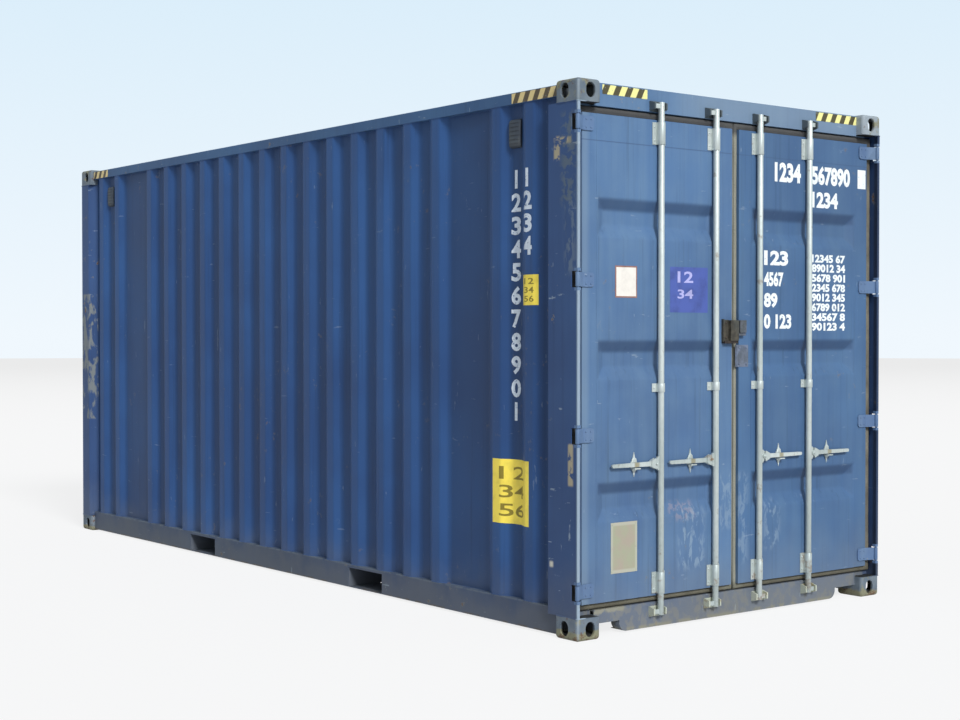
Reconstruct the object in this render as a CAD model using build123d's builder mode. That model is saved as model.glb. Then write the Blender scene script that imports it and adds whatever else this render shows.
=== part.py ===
from build123d import *
import math
import os

# A 20 ft high-cube dry freight container, in millimetres. X runs along the
# container towards its doors, Y across it, Z up from the ground. Left is -Y and
# right is +Y, as seen by someone who stands outside and faces the doors.

# Overall size and corner castings
length = 6058.0
width = 2438.0
height = 2896.0
casting_l = 178.0
casting_w = 162.0
casting_h = 118.0
casting_plate = 28.0
casting_outer_wall = 18.0
casting_inner_wall = 10.0
casting_round = 20.0
slot_from_end = 102.5
slot_from_side = 89.5
slot_l = 124.5
slot_w = 63.5
aperture_h = 79.5
aperture_w = 63.5
aperture_from_plate = 58.0
cut_past = 1.0

# Side rails
rail_recess = 28.0
top_rail_size = 60.0
top_rail_wall = 4.0
top_rail_drop = 17.0
bottom_rail_z = 12.0
bottom_rail_top = 154.0
bottom_rail_wall = 4.5
bottom_rail_upper_flange = 48.0
bottom_rail_lower_flange = 30.0

# Understructure and floor
floor_top = 167.0
floor_thickness = 28.0
floor_side_gap = 3.0
member_flange = 45.0
member_wall = 4.0
member_pitch = 287.0
pocket_centre = 1040.0
pocket_width = 360.0
pocket_plate = 6.0
pocket_web = 4.5
pocket_strap_width = 200.0

# Corrugated walls and roof
sheet = 2.0
wall_depth = 36.0
wall_flat = 72.0
wall_slope = 68.0
wall_first_crest = 140.0
wall_plain_bay_from_end = 3
wall_shift = -55.0
wall_crest_inset = 1.0
end_wall_depth = 45.0
end_wall_flat = 104.0
end_wall_slope = 18.0
end_wall_set_back = 28.0
roof_trough_pitch = 209.0
roof_trough_width = 91.0
roof_trough_from_rail = 91.0
roof_trough_depth = 20.0
roof_trough_slope = 26.0
roof_side_margin = 6.0
roof_plain_end = 150.0

# Posts
post_plate = 6.0
post_set_back = 3.0
door_post_from_end = 235.0
door_post_depth = 66.0
door_post_lip = 18.0
post_channel_l = 113.0
post_channel_w = 40.0
post_channel_wall = 12.0
end_post_end_set_back = 6.0
end_post_side_flat = 129.0
end_post_face = 119.0

# Header, sill and end rails
front_set_back = 53.0
header_drop = 6.0
header_h = 121.0
header_l = 66.0
header_wall = 4.0
sill_bottom = 9.0
sill_ledge_top = 142.0
sill_ledge_l = 54.0
sill_l = 104.0
sill_wall = 6.0
sill_cut_w = 182.0
sill_cut_top = 70.0
sill_cut_round = 50.0
sill_cut_flange = 66.0
corner_filler_back = 30.0
corner_filler_l = 33.0
end_rail_l = 70.0
end_rail_wall = 4.0
top_end_rail_h = 79.0
bottom_end_rail_h = 130.0

# Doors
door_proud = 7.0
door_depth = 55.0
door_over_ledge = 36.0
door_under_header = 41.0
door_centre_edge = 28.0
door_edge_from_pin = 58.0
stile_w = 100.0
stile_wall = 3.2
door_rail_h = 139.0
door_rail_wall = 4.0
recess_from_top = 431.0
recess_from_bottom = 420.0
recess_count = 3
recess_depth = 36.0
recess_slope = 68.5
recess_flat = 72.0
recess_margin = 6.0
gasket_centre_gap = 4.0
gasket_running_gap = 5.0
gasket_post_gap = 6.0
gasket_back = 35.0
gasket_t = 22.0

# Hinges
pin_from_end = 13.0
pin_from_side = 13.0
pin_r = 7.0
pin_clearance = 0.5
barrel_r = 12.0
blade_t = 8.0
blade_h = 74.0
blade_l = 78.0
blade_round = 18.0
lug_h = 16.0
lug_gap = 5.0
lug_reach_back = 16.0
lug_reach_in = 13.0
hinge_slot_back = 38.0
hinge_from_bottom = 72.0
hinge_from_top = 56.0
hinge_count = 4

# Lock bars, cams and keepers
bar_r = 17.0
bar_stand_off = 22.0
outer_bar_y = 600.0
inner_bar_y = 178.0
bar_over_cam = 21.0
bar_under_cam = 19.0
cam_reach = 45.0
cam_root_t = 16.0
cam_tip_t = 9.0
cam_h = 24.0
top_cam_rise = 31.0
bottom_cam_drop = 48.0
keeper_h = 56.0
keeper_tip_h = 34.0
keeper_plate = 6.0
keeper_reach = 36.0
keeper_near = 25.0
keeper_near_t = 9.0
keeper_far = 52.0
keeper_far_t = 10.0
guide_clearance = 0.5
guide_strap = 3.5
guide_plate = 4.0
guide_w = 96.0
guide_low_h = 116.0
guide_low_margin = 12.0
guide_middle_h = 46.0
guide_over_handle = 382.0
guide_high_h = 120.0
guide_high_margin = 13.0

# Handles and their catches
handle_z = 890.0
handle_l = 358.0
handle_t = 12.0
handle_h = 25.0
handle_tip_h = 19.0
handle_pin_at = 38.0
handle_pin_r = 6.0
handle_eye_r = 14.0
ear_t = 10.0
ear_r = 13.0
ear_root_h = 76.0
ear_shoulder_h = 72.0
ear_shoulder_at = 28.0
cheek_t = 6.0
cheek_gap = 0.5
flare_h = 60.0
flare_at = 44.0
flare_end_at = 85.0
fork_root_at = 60.0
fork_root_l = 16.0
catch_at = 181.0
catch_h = 134.0
catch_w = 84.0
catch_point_w = 34.0
catch_point_h = 28.0
catch_disc_r = 26.0
catch_plate = 4.0
catch_shelf_t = 6.0
catch_shelf_reach = 34.0
catch_shelf_w = 45.0
catch_gap = 5.0

# Lock box halves at the meeting edges
lock_box_x = 34.0
lock_box_gap = 10.0
lock_box_z = 1545.0
lock_box_h = {-1: 115.0, 1: 70.0}
lock_box_w = {-1: 64.0, 1: 52.0}

# Ventilators
vent_w = 110.0
vent_h = 156.0
vent_from_top = 309.0
vent_depth = 33.0
vent_foot = 68.0

# Places worked out from the driving dimensions
half_l = length / 2
half_w = width / 2
slot_spacing_x = length - 2 * slot_from_end
slot_spacing_y = width - 2 * slot_from_side
casting_inner_x = half_l - casting_l
casting_inner_y = half_w - casting_w
rail_y = half_w - rail_recess
top_rail_z = height - top_rail_drop - top_rail_size
top_rail_top = height - top_rail_drop
crest_y = rail_y - wall_crest_inset
trough_y = crest_y - wall_depth
post_top = height - casting_h
floor_bottom = floor_top - floor_thickness
rail_web_y = rail_y - bottom_rail_wall
pocket_z = bottom_rail_z + pocket_plate
pocket_top = floor_bottom - pocket_plate
post_y = half_w - post_set_back
post_inner_y = post_y - post_plate
end_x = -half_l + end_post_end_set_back
end_wall_x = half_l - end_wall_set_back
end_post_wall_x = -casting_inner_x
end_post_inner_y = casting_inner_y
end_post_side_flat_x = -half_l + end_post_side_flat
end_post_face_y = half_w - end_post_face
door_post_rear_x = half_l - door_post_from_end
vent_z = height - vent_from_top
roof_trough_length = 2 * (rail_y - roof_trough_from_rail)

front_x = half_l - front_set_back
header_top = height - header_drop
header_bottom = header_top - header_h
door_face_x = front_x + door_proud
door_bottom = sill_ledge_top + door_over_ledge
door_top = header_bottom - door_under_header
pin_x = half_l - pin_from_end
pin_y = half_w - pin_from_side
door_hinge_edge = pin_y - door_edge_from_pin
blade_inner_y = door_hinge_edge - blade_l
lug_back_x = pin_x - lug_reach_back
lug_front_x = half_l - post_set_back
lug_inner_y = pin_y - lug_reach_in
hinge_slot_x = pin_x - hinge_slot_back
hinge_first_z = door_bottom + hinge_from_bottom
hinge_pitch = (door_top - hinge_from_top - hinge_first_z) / (hinge_count - 1)
hinge_zs = [hinge_first_z + hinge_pitch * k for k in range(hinge_count)]
gasket_x = door_face_x - gasket_back
gasket_hinge_edge = post_inner_y - gasket_post_gap
gasket_top = header_bottom - gasket_running_gap
gasket_bottom = sill_ledge_top + gasket_running_gap
post_channel_x = gasket_x - gasket_running_gap - post_channel_l
recess_h = recess_flat + 2 * recess_slope
recess_top = door_top - recess_from_top
recess_pitch = (recess_top - recess_h - door_bottom - recess_from_bottom) / (recess_count - 1)
bar_x = door_face_x + bar_stand_off
top_cam_z = header_bottom + top_cam_rise
bottom_cam_z = sill_ledge_top - bottom_cam_drop
bar_top = top_cam_z + bar_over_cam
bar_bottom = bottom_cam_z - bar_under_cam
guide_spans = (
    (door_bottom + guide_low_margin, guide_low_h),
    (handle_z + guide_over_handle, guide_middle_h),
    (door_top - guide_high_margin - guide_high_h, guide_high_h),
)
sides = (("left", -1), ("right", 1))
bars = (("1", -1, outer_bar_y), ("2", -1, inner_bar_y), ("3", 1, inner_bar_y), ("4", 1, outer_bar_y))

os.makedirs("parts", exist_ok=True)


def save(piece, name):
    piece.part.label = name
    export_step(piece.part, f"parts/{name}.step")


def thick_path(path, thickness):
    """Closed outline of a folded sheet: the path, and back along its left side."""
    inner = []
    for i, (x, y) in enumerate(path):
        normals = []
        for a, b in ((i - 1, i), (i, i + 1)):
            if a >= 0 and b < len(path):
                run_x = path[b][0] - path[a][0]
                run_y = path[b][1] - path[a][1]
                run = math.hypot(run_x, run_y)
                normals.append((-run_y / run, run_x / run))
        sum_x = sum(n[0] for n in normals)
        sum_y = sum(n[1] for n in normals)
        reach = thickness / (sum_x * normals[0][0] + sum_y * normals[0][1])
        inner.append((x + sum_x * reach, y + sum_y * reach))
    return list(path) + inner[::-1]


def outline_face(plane, points):
    with BuildSketch(plane) as face:
        with BuildLine():
            Polyline(*points, close=True)
        make_face()
    return face.sketch


def box_between(low, high):
    """A box as a sketch on its floor, and its height."""
    with BuildSketch(Plane.XY.offset(low[2])) as base:
        with Locations(((low[0] + high[0]) / 2, (low[1] + high[1]) / 2)):
            Rectangle(abs(high[0] - low[0]), abs(high[1] - low[1]))
    return base.sketch, high[2] - low[2]


def beside_casting(plane_x, side, grow, low_z):
    """Opening under the sill beside a casting, round at the sill's lower corner."""
    edge_y = side * (casting_inner_y - sill_cut_w - grow)
    turn_y = side * (casting_inner_y - sill_cut_w - sill_cut_round)
    turn_z = sill_bottom + sill_cut_round
    reach = sill_cut_round - grow
    bow = reach * math.sqrt(0.5)
    with BuildSketch(Plane.YZ.offset(plane_x)) as opening:
        with BuildLine():
            Polyline(
                (turn_y, turn_z - reach),
                (turn_y, low_z),
                (side * casting_inner_y, low_z),
                (side * casting_inner_y, sill_cut_top + grow),
                (edge_y, sill_cut_top + grow),
                (edge_y, turn_z),
            )
            ThreePointArc((edge_y, turn_z), (turn_y + side * bow, turn_z - bow), (turn_y, turn_z - reach))
        make_face()
    return opening.sketch


def along_y(y_start):
    """Plane whose local axes are X and Z, at a given Y."""
    return Plane(origin=(0, y_start, 0), x_dir=(1, 0, 0), z_dir=(0, -1, 0))


# Corner castings: hollow blocks with a slot above or below, and an aperture in
# each outer face
for casting_name, outer_z, inward in (("castings_bottom", 0.0, 1), ("castings_top", height, -1)):
    middle_z = outer_z + inward * casting_h / 2
    cavity_h = casting_h - casting_plate - casting_inner_wall
    cavity_z = outer_z + inward * (casting_plate + cavity_h / 2)
    cavity_x = half_l - casting_outer_wall - (casting_l - casting_outer_wall - casting_inner_wall) / 2
    cavity_y = half_w - casting_outer_wall - (casting_w - casting_outer_wall - casting_inner_wall) / 2
    aperture_z = outer_z + inward * aperture_from_plate
    with BuildPart() as castings:
        with Locations((0, 0, middle_z)):
            with GridLocations(length - casting_l, width - casting_w, 2, 2):
                Box(casting_l, casting_w, casting_h)
        outer_edges = castings.edges().filter_by(
            lambda e: abs(e.center().Z - outer_z) < 1
            or (
                abs(e.center().Z - middle_z) < 1
                and (abs(abs(e.center().X) - half_l) < 1 or abs(abs(e.center().Y) - half_w) < 1)
            )
        )
        fillet(outer_edges, casting_round)
        with Locations((0, 0, cavity_z)):
            with GridLocations(2 * cavity_x, 2 * cavity_y, 2, 2):
                Box(
                    casting_l - casting_outer_wall - casting_inner_wall,
                    casting_w - casting_outer_wall - casting_inner_wall,
                    cavity_h,
                    mode=Mode.SUBTRACT,
                )
        with BuildSketch(Plane.XY.offset(outer_z)):
            with GridLocations(slot_spacing_x, slot_spacing_y, 2, 2):
                SlotOverall(slot_l, slot_w)
        extrude(amount=inward * (casting_plate + cut_past), mode=Mode.SUBTRACT)
        for end in (-1, 1):
            with BuildSketch(Plane.YZ.offset(end * half_l)):
                with Locations((-slot_spacing_y / 2, aperture_z), (slot_spacing_y / 2, aperture_z)):
                    SlotOverall(aperture_h, aperture_w, rotation=90)
            extrude(amount=-end * (casting_outer_wall + cut_past), mode=Mode.SUBTRACT)
            with BuildSketch(along_y(end * half_w)):
                with Locations((-slot_spacing_x / 2, aperture_z), (slot_spacing_x / 2, aperture_z)):
                    SlotOverall(aperture_h, aperture_w, rotation=90)
            extrude(amount=end * (casting_outer_wall + cut_past), mode=Mode.SUBTRACT)
    save(castings, casting_name)

# Top side rails: square tubes between the top castings
with BuildPart() as top_side_rails:
    with BuildSketch(Plane.YZ.offset(-casting_inner_x)):
        rail_middle = rail_y - top_rail_size / 2
        with Locations((-rail_middle, top_rail_z + top_rail_size / 2), (rail_middle, top_rail_z + top_rail_size / 2)):
            Rectangle(top_rail_size, top_rail_size)
            Rectangle(
                top_rail_size - 2 * top_rail_wall,
                top_rail_size - 2 * top_rail_wall,
                mode=Mode.SUBTRACT,
            )
    extrude(amount=2 * casting_inner_x)
save(top_side_rails, "top_side_rails")

# Bottom side rails: folded channels, open inwards, cut for the fork pockets
with BuildPart() as bottom_side_rails:
    for name, side in sides:
        rail_path = [
            (side * (rail_y - bottom_rail_upper_flange), bottom_rail_top),
            (side * rail_y, bottom_rail_top),
            (side * rail_y, bottom_rail_z),
            (side * (rail_y - bottom_rail_lower_flange), bottom_rail_z),
        ]
        rail_section = outline_face(
            Plane.YZ.offset(-casting_inner_x), thick_path(rail_path, -side * bottom_rail_wall)
        )
        extrude(rail_section, amount=2 * casting_inner_x)
    with Locations(
        (-pocket_centre, 0, (pocket_z + pocket_top) / 2), (pocket_centre, 0, (pocket_z + pocket_top) / 2)
    ):
        Box(pocket_width, width, pocket_top - pocket_z, mode=Mode.SUBTRACT)
    notch_l = casting_inner_x - door_post_rear_x
    with Locations((door_post_rear_x + notch_l / 2, 0, (casting_h + bottom_rail_top) / 2)):
        Box(notch_l, width, bottom_rail_top - casting_h, mode=Mode.SUBTRACT)
save(bottom_side_rails, "bottom_side_rails")

# Cross members: folded channels under the floor, from rail to rail
pocket_near_edge = pocket_centre - pocket_width / 2
pocket_far_edge = pocket_centre + pocket_width / 2
inner_count = int(2 * pocket_near_edge / member_pitch)
outer_count = int((casting_inner_x - pocket_far_edge) / member_pitch)
inner_members = [(k - (inner_count - 1) / 2) * member_pitch for k in range(inner_count)]
outer_members = [pocket_far_edge + member_pitch * (k + 1) for k in range(outer_count)]
member_xs = [-x for x in outer_members[::-1]] + inner_members + outer_members
member_bottom = bottom_rail_z + bottom_rail_wall
with BuildPart() as cross_members:
    for x in member_xs:
        facing = 1 if x >= 0 else -1
        member_path = [
            (x + facing * member_flange, floor_bottom),
            (x, floor_bottom),
            (x, member_bottom),
            (x + facing * member_flange, member_bottom),
        ]
        member_section = outline_face(along_y(rail_web_y), thick_path(member_path, facing * member_wall))
        extrude(member_section, amount=2 * rail_web_y)
save(cross_members, "cross_members")

# Fork pockets: two webs, a plate over them, and a strap under each mouth
with BuildPart() as fork_pockets:
    strap_outer = rail_y - bottom_rail_lower_flange
    for x in (-pocket_centre, pocket_centre):
        for edge in (-1, 1):
            web_x = x + edge * (pocket_width + pocket_web) / 2
            with Locations((web_x, 0, (bottom_rail_z + bottom_rail_wall + floor_bottom) / 2)):
                Box(pocket_web, 2 * rail_web_y, floor_bottom - bottom_rail_z - bottom_rail_wall)
            strap_y = edge * (strap_outer - pocket_strap_width / 2)
            with Locations((x, strap_y, bottom_rail_z + pocket_plate / 2)):
                Box(pocket_width + 2 * pocket_web, pocket_strap_width, pocket_plate)
        with Locations((x, 0, floor_bottom - pocket_plate / 2)):
            Box(pocket_width, 2 * rail_web_y, pocket_plate)
save(fork_pockets, "fork_pockets")

# Floor
floor_start_x = -end_wall_x + end_rail_l
floor_end_x = front_x - sill_l
floor_y = rail_y - bottom_rail_upper_flange - floor_side_gap
with BuildPart() as floor:
    extrude(*box_between((floor_start_x, -floor_y, floor_bottom), (floor_end_x, floor_y, floor_top)))
save(floor, "floor")

# Door sill: folded section with a ledge below the doors, cut away beside the
# castings under a rounded flange, and a filler over each casting
with BuildPart() as sill:
    sill_path = [
        (front_x - sill_l + sill_wall, sill_bottom),
        (front_x, sill_bottom),
        (front_x, sill_ledge_top),
        (front_x - sill_ledge_l, sill_ledge_top),
        (front_x - sill_ledge_l, floor_top),
        (front_x - sill_l, floor_top),
        (front_x - sill_l, floor_bottom),
    ]
    sill_section = outline_face(along_y(casting_inner_y), thick_path(sill_path, sill_wall))
    extrude(sill_section, amount=2 * casting_inner_y)
    for name, side in sides:
        flange_x = front_x - sill_cut_flange
        rear_x = front_x - sill_l - cut_past
        extrude(beside_casting(flange_x, side, sill_wall, sill_bottom), amount=sill_cut_flange)
        through = beside_casting(rear_x, side, 0.0, sill_bottom - cut_past)
        extrude(through, amount=sill_l + 2 * cut_past, mode=Mode.SUBTRACT)
        filler_y = side * (casting_inner_y + post_inner_y - post_channel_w) / 2
        filler_w = post_inner_y - post_channel_w - casting_inner_y
        filler_x = front_x - corner_filler_back - corner_filler_l / 2
        with Locations((filler_x, filler_y, (casting_h + sill_ledge_top) / 2)):
            Box(corner_filler_l, filler_w, sill_ledge_top - casting_h)
save(sill, "sill")

# Door header: box section between the top castings, with set-back fillers below them
with BuildPart() as header:
    with BuildSketch(along_y(casting_inner_y)):
        with Locations((front_x - header_l / 2, (header_bottom + header_top) / 2)):
            Rectangle(header_l, header_top - header_bottom)
            Rectangle(
                header_l - 2 * header_wall,
                header_top - header_bottom - 2 * header_wall,
                mode=Mode.SUBTRACT,
            )
    extrude(amount=2 * casting_inner_y)
    for name, side in sides:
        filler_y = side * (casting_inner_y + post_inner_y - post_channel_w) / 2
        filler_w = post_inner_y - post_channel_w - casting_inner_y
        with Locations((filler_x, filler_y, (header_bottom + post_top) / 2)):
            Box(corner_filler_l, filler_w, post_top - header_bottom)
save(header, "header")

# End rails at the closed end
with BuildPart() as end_rails:
    for rail_z, rail_h in (
        (top_rail_top - top_end_rail_h, top_end_rail_h),
        (sill_ledge_top - bottom_end_rail_h, bottom_end_rail_h),
    ):
        with BuildSketch(along_y(casting_inner_y)):
            with Locations((-end_wall_x + end_rail_l / 2, rail_z + rail_h / 2)):
                Rectangle(end_rail_l, rail_h)
                Rectangle(end_rail_l - 2 * end_rail_wall, rail_h - 2 * end_rail_wall, mode=Mode.SUBTRACT)
        extrude(amount=2 * casting_inner_y)
save(end_rails, "end_rails")

# Door posts: a plate folded in at both edges, with a slot for each hinge and room for its lugs
with BuildPart() as door_posts:
    for name, side in sides:
        post_path = [
            (door_post_rear_x, side * (post_y - door_post_depth)),
            (door_post_rear_x, side * post_y),
            (lug_front_x, side * post_y),
            (lug_front_x, side * (post_y - door_post_lip)),
        ]
        extrude(
            outline_face(Plane.XY.offset(casting_h), thick_path(post_path, -side * post_plate)),
            amount=post_top - casting_h,
        )
        slot_h = blade_h + 2 * lug_gap
        slot_y = side * (post_y - door_post_lip / 2)
        for slot_back_x, cut_h in ((hinge_slot_x, slot_h), (lug_back_x, slot_h + 2 * lug_h)):
            slot_run = half_l - slot_back_x
            with Locations(*[(slot_back_x + slot_run / 2, slot_y, z) for z in hinge_zs]):
                Box(slot_run, door_post_lip + 2 * cut_past, cut_h, mode=Mode.SUBTRACT)
save(door_posts, "door_posts")

# Inner channels of the door posts, behind the hinges
with BuildPart() as door_post_channels:
    channel_y = post_inner_y - post_channel_w / 2
    with BuildSketch(Plane.XY.offset(casting_h)):
        with Locations(
            (post_channel_x + post_channel_l / 2, -channel_y), (post_channel_x + post_channel_l / 2, channel_y)
        ):
            Rectangle(post_channel_l, post_channel_w)
            Rectangle(
                post_channel_l - 2 * post_channel_wall,
                post_channel_w - 2 * post_channel_wall,
                mode=Mode.SUBTRACT,
            )
    extrude(amount=post_top - casting_h)
save(door_post_channels, "door_post_channels")

# Hinge pins, each welded into a lug above and a lug below its barrel
with BuildPart() as hinge_pins:
    for name, side in sides:
        for z in hinge_zs:
            for end in (-1, 1):
                lug_z = z + end * (blade_h / 2 + lug_gap + lug_h / 2)
                with Locations(((lug_back_x + lug_front_x) / 2, side * (lug_inner_y + post_y) / 2, lug_z)):
                    Box(lug_front_x - lug_back_x, post_y - lug_inner_y, lug_h)
            with Locations((pin_x, side * pin_y, z)):
                Cylinder(pin_r, blade_h + 2 * lug_gap + 2 * lug_h)
save(hinge_pins, "hinge_pins")

# Posts at the closed end, folded from one sheet each
with BuildPart() as end_posts:
    for name, side in sides:
        post_path = [
            (end_post_wall_x, side * trough_y),
            (end_post_side_flat_x, side * post_y),
            (end_x, side * post_y),
            (end_x, side * end_post_face_y),
            (-end_wall_x + end_wall_depth, side * end_post_inner_y),
        ]
        extrude(
            outline_face(Plane.XY.offset(casting_h), thick_path(post_path, side * post_plate)),
            amount=post_top - casting_h,
        )
save(end_posts, "end_posts")

# Side walls: one folded sheet a side, with one plain bay towards each end
pitch = 2 * (wall_flat + wall_slope)
wall_reach = min(wall_shift - end_post_wall_x, door_post_rear_x - wall_shift)
crest_count = int((wall_reach - wall_first_crest - wall_flat / 2 - wall_slope) / pitch) + 1
plain_bay = crest_count - wall_plain_bay_from_end
crest_offsets = [wall_first_crest + pitch * k for k in range(crest_count) if k != plain_bay]
crest_xs = sorted([wall_shift - d for d in crest_offsets] + [wall_shift + d for d in crest_offsets])
for name, side in sides:
    wall_path = [(end_post_wall_x, side * trough_y)]
    for x in crest_xs:
        wall_path.append((x - wall_flat / 2 - wall_slope, side * trough_y))
        wall_path.append((x - wall_flat / 2, side * crest_y))
        wall_path.append((x + wall_flat / 2, side * crest_y))
        wall_path.append((x + wall_flat / 2 + wall_slope, side * trough_y))
    wall_path.append((door_post_rear_x, side * trough_y))
    with BuildPart() as side_wall:
        extrude(
            outline_face(Plane.XY.offset(bottom_rail_top), thick_path(wall_path, -side * sheet)),
            amount=top_rail_z - bottom_rail_top,
        )
    save(side_wall, f"side_wall_{name}")

# End wall: folded sheet with narrower, deeper corrugations
end_pitch = 2 * (end_wall_flat + end_wall_slope)
end_crests = int(2 * end_post_inner_y / end_pitch)
end_path = [(-end_wall_x + end_wall_depth, -end_post_inner_y)]
for k in range(end_crests):
    y = (k - (end_crests - 1) / 2) * end_pitch
    end_path.append((-end_wall_x + end_wall_depth, y - end_wall_flat / 2 - end_wall_slope))
    end_path.append((-end_wall_x, y - end_wall_flat / 2))
    end_path.append((-end_wall_x, y + end_wall_flat / 2))
    end_path.append((-end_wall_x + end_wall_depth, y + end_wall_flat / 2 + end_wall_slope))
end_path.append((-end_wall_x + end_wall_depth, end_post_inner_y))
with BuildPart() as end_wall:
    extrude(
        outline_face(Plane.XY.offset(sill_ledge_top), thick_path(end_path, -sheet)),
        amount=top_rail_top - top_end_rail_h - sill_ledge_top,
    )
save(end_wall, "end_wall")

# Roof: flat sheet on the rails with pressed troughs across it
roof_start_x = -end_wall_x
roof_end_x = front_x - header_l
trough_w = roof_trough_width + 2 * roof_trough_slope
trough_count = int((2 * (casting_inner_x - roof_plain_end) - trough_w) / roof_trough_pitch) + 1
with BuildPart() as roof:
    with BuildSketch(Plane.XY.offset(top_rail_top)):
        Rectangle(2 * casting_inner_x, 2 * (rail_y - roof_side_margin))
        with Locations(((roof_start_x + roof_end_x) / 2, 0)):
            Rectangle(roof_end_x - roof_start_x, 2 * casting_inner_y)
    extrude(amount=sheet)
    for mode, lift in ((Mode.ADD, 0.0), (Mode.SUBTRACT, sheet)):
        with BuildSketch(Plane.XY.offset(top_rail_top + lift)):
            with GridLocations(roof_trough_pitch, 0, trough_count, 1):
                Rectangle(trough_w, roof_trough_length)
        extrude(
            amount=-roof_trough_depth,
            taper=math.degrees(math.atan(roof_trough_slope / roof_trough_depth)),
            mode=mode,
        )
save(roof, "roof")

# Ventilators, one near each end of both walls, in the troughs of the sheet
with BuildPart() as ventilators:
    vent_xs = (crest_xs[0] + pitch / 2, crest_xs[-1] - pitch / 2)
    shoulder = vent_depth / 2
    for name, side in sides:
        for x in vent_xs:
            vent_outline = [
                (x - vent_foot / 2, side * trough_y),
                (x - vent_w / 2, side * (trough_y + shoulder)),
                (x - vent_w / 2, side * (trough_y + vent_depth)),
                (x + vent_w / 2, side * (trough_y + vent_depth)),
                (x + vent_w / 2, side * (trough_y + shoulder)),
                (x + vent_foot / 2, side * trough_y),
            ]
            extrude(outline_face(Plane.XY.offset(vent_z), vent_outline), amount=vent_h)
save(ventilators, "ventilators")

# Cam keepers on the header and the sill: a plate with a tapered lug on each side of the cam
with BuildPart() as cam_keepers:
    for number, side, bar_y in bars:
        for z in (top_cam_z, bottom_cam_z):
            low_y = -(keeper_near + keeper_near_t)
            high_y = keeper_far + keeper_far_t
            with Locations((front_x + keeper_plate / 2, side * (bar_y + (low_y + high_y) / 2), z)):
                Box(keeper_plate, high_y - low_y, keeper_h)
            lug_outline = [
                (front_x, z - keeper_h / 2),
                (front_x + keeper_plate, z - keeper_h / 2),
                (front_x + keeper_plate + keeper_reach, z - keeper_tip_h / 2),
                (front_x + keeper_plate + keeper_reach, z + keeper_tip_h / 2),
                (front_x + keeper_plate, z + keeper_h / 2),
                (front_x, z + keeper_h / 2),
            ]
            for near, far in ((low_y, -keeper_near), (keeper_far, high_y)):
                start_y = side * bar_y + max(side * near, side * far)
                extrude(outline_face(along_y(start_y), lug_outline), amount=far - near)
save(cam_keepers, "cam_keepers")

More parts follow.
